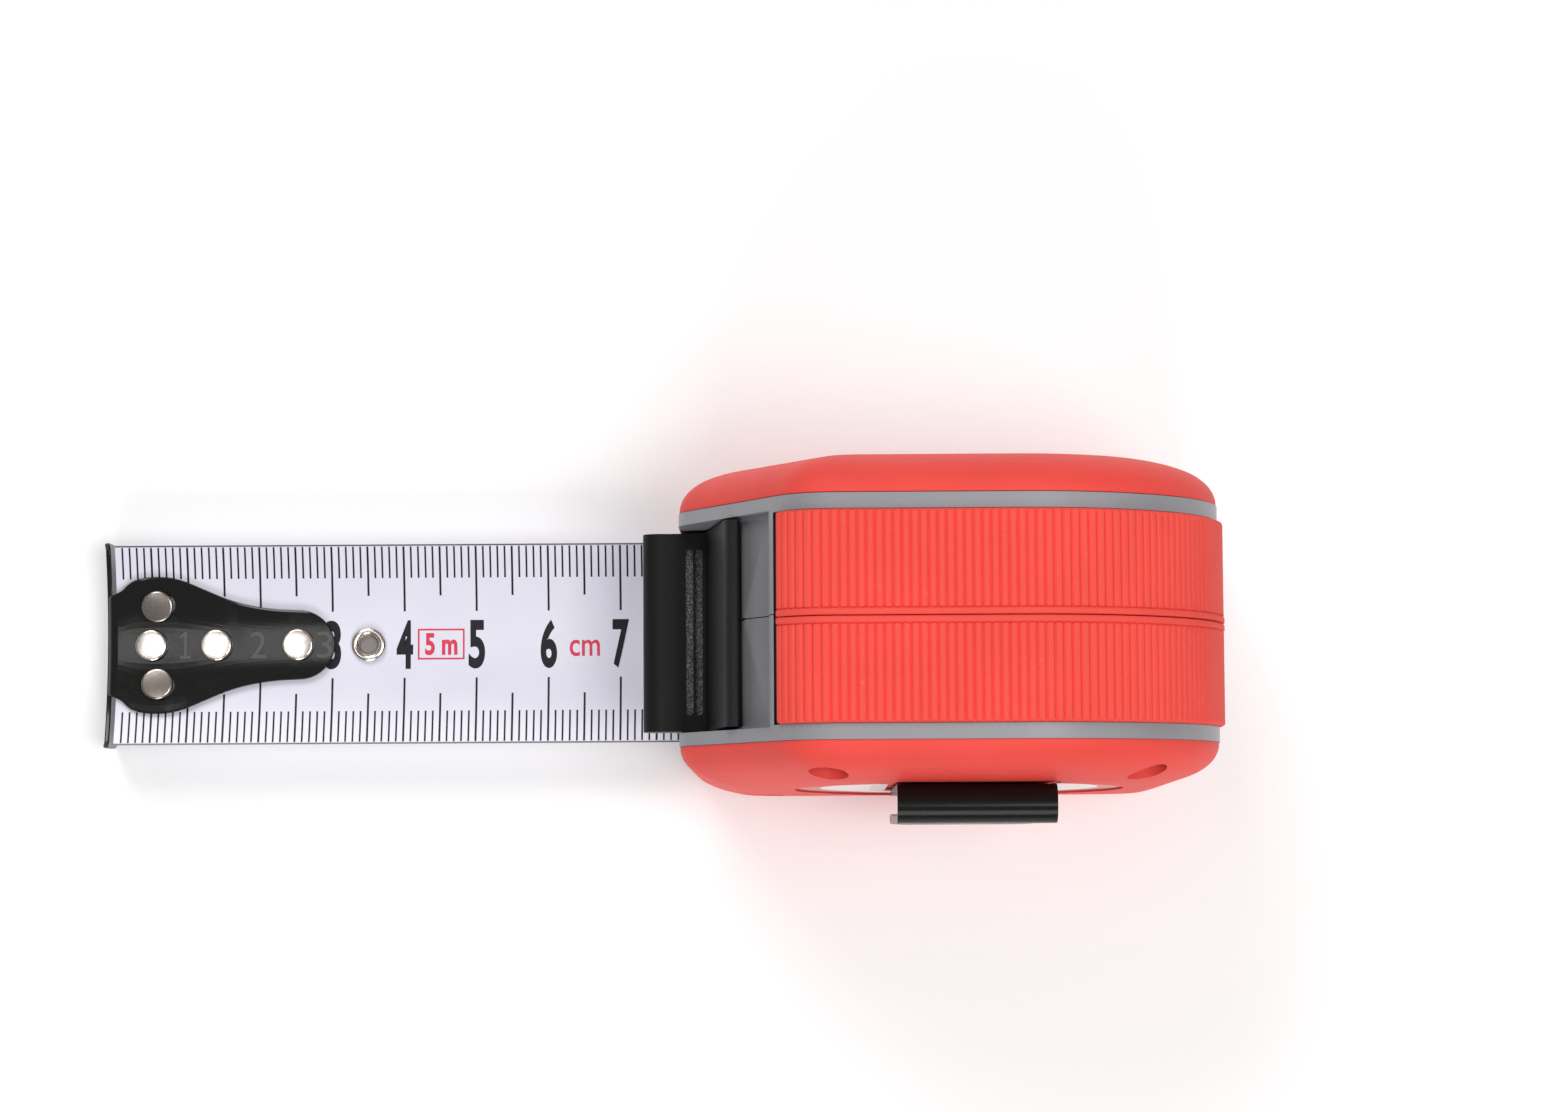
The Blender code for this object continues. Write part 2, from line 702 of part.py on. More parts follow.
def belt_clip():
    """Spring steel clip: a fixed leg in the cover, a round bend at the top and a free leg."""
    bend = (CLIP_OUTER - CLIP_INNER) / 2
    middle = CLIP_INNER + bend
    top = 55.5
    inner_leg = [(-CLIP_INNER - CLIP_T, 23.0)]
    turn = arc(-middle, top, bend - CLIP_T, 0, 180, 10)
    free_leg = [(-CLIP_OUTER + CLIP_T + 0.1, 40.0), (-CLIP_OUTER + CLIP_T + 0.6, 22.0), (-CLIP_OUTER + 0.5, 15.0)]
    path = inner_leg + turn + free_leg
    sheet = ribbon(path, -CLIP_T)
    clip = prism_x("belt_clip", sheet, CLIP_CENTRE - CLIP_HALF, CLIP_CENTRE + CLIP_HALF)
    hole = rod_y("hole", CLIP_CENTRE, AXLE_Z, 1.8, -CLIP_INNER - 1.6, -15, 20)
    return cut(clip, hole)


def belt_clip_screw():
    seat = CLIP_INNER + CLIP_T + GAP
    profile = [(0, 17.0), (1.2, 17.0), (1.2, seat), (2.6, seat), (2.6, seat + 0.7), (2.0, seat + 1.1), (0, seat + 1.1)]
    return turned("belt_clip_screw", profile, along_y(CLIP_CENTRE, AXLE_Z, -1), 24)


def case_screw(x, z):
    """Self-tapping screw that draws the side cover and the two core halves together."""
    head = 17.6
    profile = [
        (0, -7.0), (1.2, -6.0), (1.2, head - 1.7), (1.2, head + GAP), (SCREW_HEAD_R, head + GAP),
        (SCREW_HEAD_R, head + 1.2), (1.6, head + 1.7), (0, head + 1.7),
    ]
    return turned("case_screw", profile, along_y(x, z, -1), 20)


def clear_scene():
    for obj in list(bpy.data.objects):
        bpy.data.objects.remove(obj)


def main():
    clear_scene()
    spool_axis = axis_empty("spool_axis", 0, 0, AXLE_Z)
    blade_axis = axis_empty("blade_axis", BLADE_ZERO, 0, BLADE_Z)
    tail_axis = axis_empty("tail_axis", BLADE_ZERO + TAIL_FROM, 0, BLADE_Z)
    hook_axis = axis_empty("hook_axis", BLADE_ZERO, 0, BLADE_Z)
    lock_axis = axis_empty("lock_axis", track_x(SHELF_Z), 0, SHELF_Z)

    for side, hand in ((-1, "left"), (1, "right")):
        add(f"case_{hand}", case_half(side), "grey_core")
        add(f"side_cover_{hand}", side_cover(side), "red_shell")
        add(f"grip_{hand}", grip(side), "red_rubber")
        add(f"label_{hand}", label(side), "label_film")
    for number, (x, z) in enumerate(SCREWS, 1):
        add(f"case_screw_{number}", case_screw(x, z), "steel")
    add("belt_clip", belt_clip(), "black_paint")
    add("belt_clip_screw", belt_clip_screw(), "steel")
    add("mouth_plate", mouth_plate(), "steel")
    add("mouth_bumper", mouth_bumper(), "brake_rubber")
    add("spindle", spindle(), "inner_plastic")
    add("mainspring", mainspring(), "spring_steel")

    add("spool_drum", spool_drum(), "inner_plastic", spool_axis)
    add("spool_cap", spool_cap(), "inner_plastic", spool_axis)
    add("blade_coil", blade_coil(), "blade_lacquer", spool_axis)

    add("lock_button", lock_button(), "black_lock", lock_axis)
    add("brake_pad_left", brake_pad(-1), "brake_rubber", lock_axis)
    add("brake_pad_right", brake_pad(1), "brake_rubber", lock_axis)

    add("blade", blade(), "blade_lacquer", blade_axis)
    for number, (at, y) in enumerate(RIVETS, 1):
        add(f"hook_rivet_{number}", hook_rivet(at, y), "steel", blade_axis)
    add("blade_eyelet", blade_eyelet(), "steel", blade_axis)
    add("blade_tail", blade_tail(), "blade_lacquer", tail_axis)
    add("hook", hook(), "black_paint", hook_axis)


main()
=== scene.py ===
"""Looks of a pocket tape measure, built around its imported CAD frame.

Lengths in the classes are in millimetres, in the frame of the CAD model: +X to the rear of the case, +Z up,
and the belt clip on the -Y side. Meshes are made in metres.
"""
import logging
import math
from dataclasses import dataclass, field
from enum import Enum
from typing import Callable, Iterable, Optional, Sequence, Union

import bmesh
import bpy
from mathutils import Matrix, Vector


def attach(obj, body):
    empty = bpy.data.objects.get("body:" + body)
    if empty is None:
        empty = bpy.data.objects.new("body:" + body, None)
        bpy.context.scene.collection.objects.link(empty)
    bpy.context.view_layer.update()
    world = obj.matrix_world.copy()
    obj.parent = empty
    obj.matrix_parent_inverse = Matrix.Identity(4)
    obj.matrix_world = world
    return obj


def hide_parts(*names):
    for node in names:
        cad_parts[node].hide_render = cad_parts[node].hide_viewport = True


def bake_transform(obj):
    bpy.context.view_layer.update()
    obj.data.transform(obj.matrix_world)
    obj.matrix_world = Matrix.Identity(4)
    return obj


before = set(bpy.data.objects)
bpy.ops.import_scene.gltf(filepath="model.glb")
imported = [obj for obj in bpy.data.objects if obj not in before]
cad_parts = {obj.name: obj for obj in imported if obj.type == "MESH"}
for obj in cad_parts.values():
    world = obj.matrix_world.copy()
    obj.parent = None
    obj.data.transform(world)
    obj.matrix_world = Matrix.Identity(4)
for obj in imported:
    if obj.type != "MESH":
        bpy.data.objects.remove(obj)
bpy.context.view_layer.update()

MM = 0.001
Point2 = tuple[float, float]
Point3 = tuple[float, float, float]
Number = Union[float, int, "Wire"]
log = logging.getLogger("tape_measure")


class Side(Enum):
    """The two sides of the case, with the sign of Y."""

    LEFT = -1
    RIGHT = 1

    @property
    def word(self) -> str:
        """Name of the side as it stands in node names."""
        return self.name.lower()


# ------------------------------------------------------------------ shader kit
class Wire:
    """An output socket that can be used in arithmetic; each operation adds a Math node."""

    def __init__(self, kit: "ShaderKit", socket: bpy.types.NodeSocket) -> None:
        """Args:
            kit: the shader the socket belongs to.
            socket: the output socket.
        """
        self.kit = kit
        self.socket = socket

    def _math(self, operation: str, first: Number, second: Number) -> "Wire":
        """Add one Math node.

        Args:
            operation: the node's operation.
            first: its first value.
            second: its second value.

        Returns:
            The node's output.
        """
        return self.kit.node("ShaderNodeMath", {"operation": operation}, {0: first, 1: second})

    def __add__(self, other: Number) -> "Wire":
        """Sum."""
        return self._math("ADD", self, other)

    __radd__ = __add__

    def __sub__(self, other: Number) -> "Wire":
        """Difference."""
        return self._math("SUBTRACT", self, other)

    def __rsub__(self, other: Number) -> "Wire":
        """Difference, reflected."""
        return self._math("SUBTRACT", other, self)

    def __mul__(self, other: Number) -> "Wire":
        """Product."""
        return self._math("MULTIPLY", self, other)

    __rmul__ = __mul__

    def __truediv__(self, other: Number) -> "Wire":
        """Quotient."""
        return self._math("DIVIDE", self, other)

    def __pow__(self, other: Number) -> "Wire":
        """Power."""
        return self._math("POWER", self, other)

    def __lt__(self, other: Number) -> "Wire":
        """One where this is the smaller, otherwise zero."""
        return self._math("LESS_THAN", self, other)

    def __abs__(self) -> "Wire":
        """Absolute value."""
        return self._math("ABSOLUTE", self, 0.0)


class ShaderKit:
    """A new material with a Principled shader, and short ways to add nodes to it."""

    def __init__(self, name: str) -> None:
        """Make the material.

        Args:
            name: the material's name.
        """
        self.material = bpy.data.materials.new(name)
        self.material.use_nodes = True
        self.tree = self.material.node_tree
        self.shader = self.tree.nodes["Principled BSDF"]

    def node(self, kind: str, settings: dict, inputs: dict, output: Union[int, str] = 0) -> Wire:
        """Add any node.

        Args:
            kind: the node's type.
            settings: its settings, such as a Math node's operation.
            inputs: values or wires by the socket's name or number.
            output: the output that is wanted.

        Returns:
            The wanted output.
        """
        made = self.tree.nodes.new(kind)
        for key, value in settings.items():
            setattr(made, key, value)
        for key, value in inputs.items():
            if isinstance(value, Wire):
                self.tree.links.new(value.socket, made.inputs[key])
            else:
                made.inputs[key].default_value = value
        return Wire(self, made.outputs[output])

    def place(self) -> Wire:
        """Object coordinates, in metres."""
        return self.node("ShaderNodeTexCoord", {}, {}, "Object")

    def split(self, vector: Wire, axis: str) -> Wire:
        """One component of a vector.

        Args:
            vector: the vector.
            axis: "X", "Y" or "Z".

        Returns:
            The component.
        """
        return self.node("ShaderNodeSeparateXYZ", {}, {0: vector}, axis)

    def noise(self, size: float, detail: float = 2.0, rough: float = 0.5, where: Optional[Wire] = None) -> Wire:
        """Noise whose blobs are about a given size.

        Args:
            size: the size in millimetres.
            detail: octaves.
            rough: roughness of the octaves.
            where: coordinates, or the object's own.

        Returns:
            A value from 0 to 1.
        """
        inputs = {"Vector": where or self.place(), "Scale": 1 / (size * MM), "Detail": detail, "Roughness": rough}
        return self.node("ShaderNodeTexNoise", {}, inputs, 0)

    def ramp(self, value: Wire, low: float, high: float) -> Wire:
        """Smooth step from 0 at low to 1 at high.

        Args:
            value: the value.
            low: start of the step.
            high: end of the step.

        Returns:
            The stepped value.
        """
        inputs = {0: value, 1: low, 2: high, 3: 0.0, 4: 1.0}
        return self.node("ShaderNodeMapRange", {"interpolation_type": "SMOOTHSTEP"}, inputs)

    def mix(self, factor: Number, first: Union[Wire, Point3], second: Union[Wire, Point3]) -> Wire:
        """Mix two colours.

        Args:
            factor: share of the second colour.
            first: colour at factor 0.
            second: colour at factor 1.

        Returns:
            The mixed colour.
        """
        first = first if isinstance(first, Wire) else (*first, 1)
        second = second if isinstance(second, Wire) else (*second, 1)
        return self.node("ShaderNodeMix", {"data_type": "RGBA"}, {0: factor, 6: first, 7: second}, 2)

    def feed(self, **sockets: Number) -> None:
        """Link wires or set values on the Principled shader.

        Args:
            sockets: values by the socket's name, with underscores for spaces.
        """
        for key, value in sockets.items():
            socket = self.shader.inputs[key.replace("_", " ")]
            if isinstance(value, Wire):
                self.tree.links.new(value.socket, socket)
            elif isinstance(value, tuple):
                socket.default_value = (*value, 1)
            else:
                socket.default_value = value

    def bump(self, height: Wire, depth: float) -> None:
        """Feed the shader's normal from a height.

        Args:
            height: height from 0 to 1.
            depth: depth of a full step in millimetres.
        """
        inputs = {"Strength": 1.0, "Distance": depth * MM, "Height": height}
        self.feed(Normal=self.node("ShaderNodeBump", {}, inputs, "Normal"))


# ------------------------------------------------------------------ finishes
@dataclass(frozen=True)
class Moulded:
    """Moulded plastic or rubber with a fine grain, faint clouding and a few rubbed flecks."""

    name: str
    colour: Point3
    worn: Point3
    roughness: float
    grain: float = 0.12
    depth: float = 0.008
    flecks: float = 0.15
    gloss: float = 0.38

    def build(self) -> bpy.types.Material:
        """Make the material."""
        kit = ShaderKit(self.name)
        grain = kit.noise(self.grain, 3.0, 0.6)
        cloud = kit.noise(9.0, 2.0)
        dust = kit.ramp(kit.noise(0.28, 1.0), 0.74, 0.80) * self.flecks
        scuff = kit.ramp(kit.noise(2.4, 5.0, 0.7), 0.60, 0.78) * (self.flecks * 0.6)
        deep = tuple(c * 0.965 for c in self.colour)
        base = kit.mix(kit.ramp(cloud, 0.35, 0.65), deep, self.colour)
        kit.feed(
            Base_Color=kit.mix(dust + scuff, base, self.worn),
            Roughness=grain * 0.12 + scuff * 0.3 + (self.roughness - 0.06),
            Specular_IOR_Level=self.gloss,
        )
        kit.bump(grain, self.depth)
        return kit.material


@dataclass(frozen=True)
class GlossPaint:
    """Black stoved paint on sheet steel, with slight orange peel, light specks and uneven gloss."""

    name: str
    colour: Point3
    roughness: float
    gloss: float = 0.32

    def build(self) -> bpy.types.Material:
        """Make the material."""
        kit = ShaderKit(self.name)
        peel = kit.noise(0.9, 2.0)
        smear = kit.ramp(kit.noise(4.0, 4.0, 0.65), 0.45, 0.75)
        specks = kit.ramp(kit.noise(0.22, 1.0), 0.76, 0.80) * 0.25
        kit.feed(
            Base_Color=kit.mix(specks, self.colour, (0.25, 0.24, 0.23)),
            Roughness=smear * 0.12 + self.roughness,
            Coat_Weight=0.15,
            Coat_Roughness=0.12,
            Specular_IOR_Level=self.gloss,
        )
        kit.bump(peel, 0.004)
        return kit.material


@dataclass(frozen=True)
class Steel:
    """Plated or spring steel, finely brushed."""

    name: str
    colour: Point3
    shade: Point3
    roughness: float
    stretch: Point3 = (1.0, 12.0, 12.0)

    def build(self) -> bpy.types.Material:
        """Make the material."""
        kit = ShaderKit(self.name)
        lines = kit.node("ShaderNodeVectorMath", {"operation": "MULTIPLY"}, {0: kit.place(), 1: self.stretch})
        brushed = kit.noise(0.8, 3.0, 0.6, lines)
        stain = kit.ramp(kit.noise(1.6, 4.0, 0.6), 0.4, 0.75)
        kit.feed(
            Base_Color=kit.mix(stain, self.colour, self.shade),
            Roughness=brushed * 0.1 + stain * 0.06 + (self.roughness - 0.06),
            Metallic=1.0,
        )
        kit.bump(brushed, 0.0012)
        return kit.material


@dataclass(frozen=True)
class Lacquer:
    """Pale lacquer over the printed blade, with painted shade: a thin dark line along both edges."""

    name: str = "blade_lacquer_finish"
    colour: Point3 = (0.74, 0.73, 0.84)
    warm: Point3 = (0.78, 0.765, 0.86)
    # colour of the painted shade along both edges of the blade
    edge: Point3 = (0.05, 0.05, 0.07)
    half_width: float = 13.81

    def build(self) -> bpy.types.Material:
        """Make the material."""
        kit = ShaderKit(self.name)
        across = abs(kit.split(kit.place(), "Y"))
        # painted shade: mask of the thin dark line along both edges
        rim = kit.ramp(across, (self.half_width - 0.30) * MM, (self.half_width - 0.16) * MM)
        cloud = kit.ramp(kit.noise(14.0, 3.0), 0.35, 0.65)
        dust = kit.ramp(kit.noise(0.3, 1.0), 0.77, 0.80) * 0.2
        base = kit.mix(cloud, self.colour, self.warm)
        kit.feed(
            Base_Color=kit.mix(rim, kit.mix(dust, base, (0.4, 0.4, 0.45)), self.edge),
            Roughness=kit.noise(1.2, 3.0) * 0.12 + 0.26,
            Coat_Weight=0.35,
            Coat_Roughness=0.2,
        )
        kit.bump(kit.noise(0.7, 2.0), 0.004)
        return kit.material


@dataclass(frozen=True)
class Ink:
    """Printed ink with a slightly uneven cover."""

    name: str
    colour: Point3
    thin: Point3

    def build(self) -> bpy.types.Material:
        """Make the material."""
        kit = ShaderKit(self.name)
        wear = kit.ramp(kit.noise(0.5, 3.0, 0.6), 0.55, 0.8) * 0.35
        kit.feed(
            Base_Color=kit.mix(wear, self.colour, self.thin),
            Roughness=wear * 0.3 + 0.45,
            Specular_IOR_Level=0.25,
        )
        kit.bump(kit.noise(0.2, 2.0), 0.003)
        return kit.material


@dataclass(frozen=True)
class Stipple:
    """Coarse spark-eroded texture on a groove's floor, with painted highlights: the grain's peaks are painted
    lighter.
    """

    name: str
    colour: Point3
    # lighter colour painted on the grain's peaks as highlights
    bright: Point3

    def build(self) -> bpy.types.Material:
        """Make the material."""
        kit = ShaderKit(self.name)
        grain = kit.noise(0.2, 4.0, 0.8)
        # painted highlight: the grain's peaks take the lighter colour
        highlit_peaks = kit.ramp(grain, 0.48, 0.62)
        kit.feed(
            Base_Color=kit.mix(highlit_peaks, self.colour, self.bright),
            Roughness=0.62 - highlit_peaks * 0.3,
        )
        kit.bump(grain, 0.05)
        return kit.material


@dataclass(frozen=True)
class LabelFilm:
    """White film with a coloured border and generic printed bars."""

    name: str
    centre: Point2
    radius: float

    def build(self) -> bpy.types.Material:
        """Make the material."""
        kit = ShaderKit(self.name)
        place = kit.place()
        across = kit.split(place, "X") - self.centre[0] * MM
        up = kit.split(place, "Z") - self.centre[1] * MM
        distance = (across * across + up * up) ** 0.5
        border = kit.ramp(distance, (self.radius - 3.1) * MM, (self.radius - 2.9) * MM)
        inside = distance < (self.radius - 6.5) * MM
        band = kit.node("ShaderNodeMath", {"operation": "FLOORED_MODULO"}, {0: up / (3.4 * MM), 1: 1.0})
        short = abs(across) < (self.radius - 9.5) * MM
        bars = (band < 0.34) * inside * short
        white = kit.mix(kit.ramp(kit.noise(6.0, 2.0), 0.3, 0.7), (0.80, 0.79, 0.77), (0.86, 0.85, 0.84))
        printed = kit.mix(bars * 0.85, white, (0.09, 0.09, 0.10))
        kit.feed(
            Base_Color=kit.mix(border, printed, (0.55, 0.04, 0.035)),
            Roughness=kit.noise(0.9, 2.0) * 0.1 + 0.3,
            Coat_Weight=0.3,
            Coat_Roughness=0.15,
        )
        kit.bump(kit.noise(1.5, 2.0), 0.01)
        return kit.material


class Finishes:
    """All the finishes, made once and kept by name."""

    def __init__(self) -> None:
        """Build every finish."""
        paint = (0.008, 0.0075, 0.007)
        self.red_shell = Moulded(
            "red_shell_finish", (0.82, 0.075, 0.060), (0.85, 0.30, 0.26), roughness=0.54,
            grain=0.10, depth=0.006, flecks=0.10, gloss=0.14,
        ).build()
        self.red_rubber = Moulded(
            "red_rubber_finish", (0.85, 0.088, 0.068), (0.9, 0.38, 0.31), roughness=0.68,
            grain=0.14, depth=0.012, flecks=0.25, gloss=0.12,
        ).build()
        self.grey_core = Moulded(
            "grey_core_finish", (0.272, 0.272, 0.290), (0.45, 0.45, 0.47), roughness=0.36,
            depth=0.005, flecks=0.10, gloss=0.40,
        ).build()
        self.black_lock = Moulded(
            "black_lock_finish", (0.010, 0.009, 0.009), (0.10, 0.09, 0.09), roughness=0.44,
            grain=0.11, flecks=0.10, gloss=0.14,
        ).build()
        self.inner_plastic = Moulded(
            "inner_plastic_finish", (0.035, 0.035, 0.04), (0.1, 0.1, 0.1), roughness=0.5,
        ).build()
        self.brake_rubber = Moulded(
            "brake_rubber_finish", (0.02, 0.02, 0.02), (0.08, 0.08, 0.08), roughness=0.8,
            grain=0.2, depth=0.02,
        ).build()
        self.black_paint = GlossPaint("black_paint_finish", paint, 0.10).build()
        self.clip_paint = GlossPaint("clip_paint_finish", paint, 0.26, gloss=0.08).build()
        self.steel = Steel("steel_finish", (0.80, 0.74, 0.68), (0.66, 0.59, 0.53), 0.15).build()
        # darker copy of the steel: painted shade for the outer rivets, whose heads tilt away from the light
        self.aged_steel = Steel("aged_steel_finish", (0.44, 0.39, 0.35), (0.30, 0.26, 0.24), 0.22).build()
        self.dark_steel = Steel("dark_steel_finish", (0.16, 0.155, 0.15), (0.10, 0.10, 0.10), 0.32).build()
        self.dull_steel = Steel("dull_steel_finish", (0.27, 0.24, 0.23), (0.22, 0.2, 0.19), 0.5).build()
        # paint lighter than the hook's black: a painted highlight on the raised figures, which are the same black
        # paint
        self.stamp = GlossPaint("stamp_finish", (0.075, 0.068, 0.062), 0.22).build()
        self.spring_steel = Steel("spring_steel_finish", (0.25, 0.28, 0.36), (0.16, 0.17, 0.2), 0.3).build()
        self.lacquer = Lacquer().build()
        self.black_ink = Ink("black_ink_finish", (0.010, 0.010, 0.016), (0.035, 0.035, 0.05)).build()
        self.red_ink = Ink("red_ink_finish", (0.70, 0.045, 0.10), (0.8, 0.25, 0.3)).build()
        # the second colour is a painted highlight on the grain's peaks
        self.stipple = Stipple("stipple_finish", (0.02, 0.018, 0.018), (0.22, 0.205, 0.20)).build()


# ------------------------------------------------------------------ mesh kit
class Outline:
    """Plane outlines as lists of points."""

    @staticmethod
    def inset(corners: Sequence[Point3], depth: float, soften: float = 0.0) -> list[Point3]:
        """Move each side of a convex outline inwards.

        Args:
            corners: (x, z, radius) of each corner.
            depth: distance to move.
            soften: growth of the smallest radius with depth.

        Returns:
            The moved corners.
        """
        count = len(corners)
        lines = []
        for i in range(count):
            a = Vector(corners[i][:2])
            b = Vector(corners[(i + 1) % count][:2])
            along = (b - a).normalized()
            lines.append((a + Vector((-along.y, along.x)) * depth, along))
        moved = []
        for i in range(count):
            p, d = lines[i - 1]
            q, e = lines[i]
            meet = p + d * ((q - p).cross(e) / d.cross(e))
            moved.append((meet.x, meet.y, max(corners[i][2] - depth, 0.4 + soften * max(depth, 0.0))))
        return moved

    @staticmethod
    def rounded(corners: Sequence[Point3], steps: int = 20) -> list[Point2]:
        """Points of an outline whose corners are arcs.

        Args:
            corners: (x, z, radius) of each corner.
            steps: steps of each arc.

        Returns:
            The points.
        """
        points = []
        count = len(corners)
        for i in range(count):
            corner = Vector(corners[i][:2])
            before = (Vector(corners[i - 1][:2]) - corner).normalized()
            after = (Vector(corners[(i + 1) % count][:2]) - corner).normalized()
            radius = corners[i][2]
            half = before.angle(after) / 2
            centre = corner + (before + after).normalized() * (radius / math.sin(half))
            first = corner + before * (radius / math.tan(half)) - centre
            last = corner + after * (radius / math.tan(half)) - centre
            turn = -first.angle_signed(last)
            for k in range(steps + 1):
                c, s = math.cos(turn * k / steps), math.sin(turn * k / steps)
                points.append((centre.x + first.x * c - first.y * s, centre.y + first.x * s + first.y * c))
        return points

    @staticmethod
    def arc(cx: float, cz: float, radius: float, start: float, end: float, steps: int = 12) -> list[Point2]:
        """Points of an arc.

        Args:
            cx: centre, first coordinate.
            cz: centre, second coordinate.
            radius: its radius.
            start: first angle in degrees.
            end: last angle in degrees.
            steps: number of steps.

        Returns:
            The points.
        """
        angles = [math.radians(start + (end - start) * k / steps) for k in range(steps + 1)]
        return [(cx + radius * math.cos(a), cz + radius * math.sin(a)) for a in angles]

    @staticmethod
    def circle(x: float, z: float, radius: float, steps: int = 64) -> list[Point2]:
        """Points of a circle, counter-clockwise."""
        return Outline.arc(x, z, radius, 0, 360, steps)[:-1]

    @staticmethod
    def ribbon(path: Sequence[Point2], thickness: float) -> list[Point2]:
        """Outline of a strip of even thickness to the left of a path.

        Args:
            path: the path.
            thickness: the strip's thickness, negative for the right side.

        Returns:
            The closed outline.
        """
        left = []
        for i, point in enumerate(path):
            p = Vector(point)
            before = Vector(path[max(i - 1, 0)])
            after = Vector(path[min(i + 1, len(path) - 1)])
            along = (after - before).normalized()
            side = Vector((-along.y, along.x))
            if 0 < i < len(path) - 1:
                side /= math.cos((p - before).angle(after - p) / 2)
            left.append(tuple(p + side * thickness))
        return list(path) + left[::-1]

    @staticmethod
    def smooth(points: Sequence[Point2], steps: int = 6) -> list[Point2]:
        """Smooth curve through points.

        Args:
            points: the points it passes.
            steps: steps between two points.

        Returns:
            The curve's points.
        """
        result = []
        for i in range(len(points) - 1):
            a = Vector(points[max(i - 1, 0)])
            b, c = Vector(points[i]), Vector(points[i + 1])
            d = Vector(points[min(i + 2, len(points) - 1)])
            for k in range(steps):
                t = k / steps
                p = b * 2 + (c - a) * t + (a * 2 - b * 5 + c * 4 - d) * t ** 2 + (b * 3 - a - c * 3 + d) * t ** 3
                result.append(tuple(p / 2))
        result.append(tuple(points[-1]))
        return result


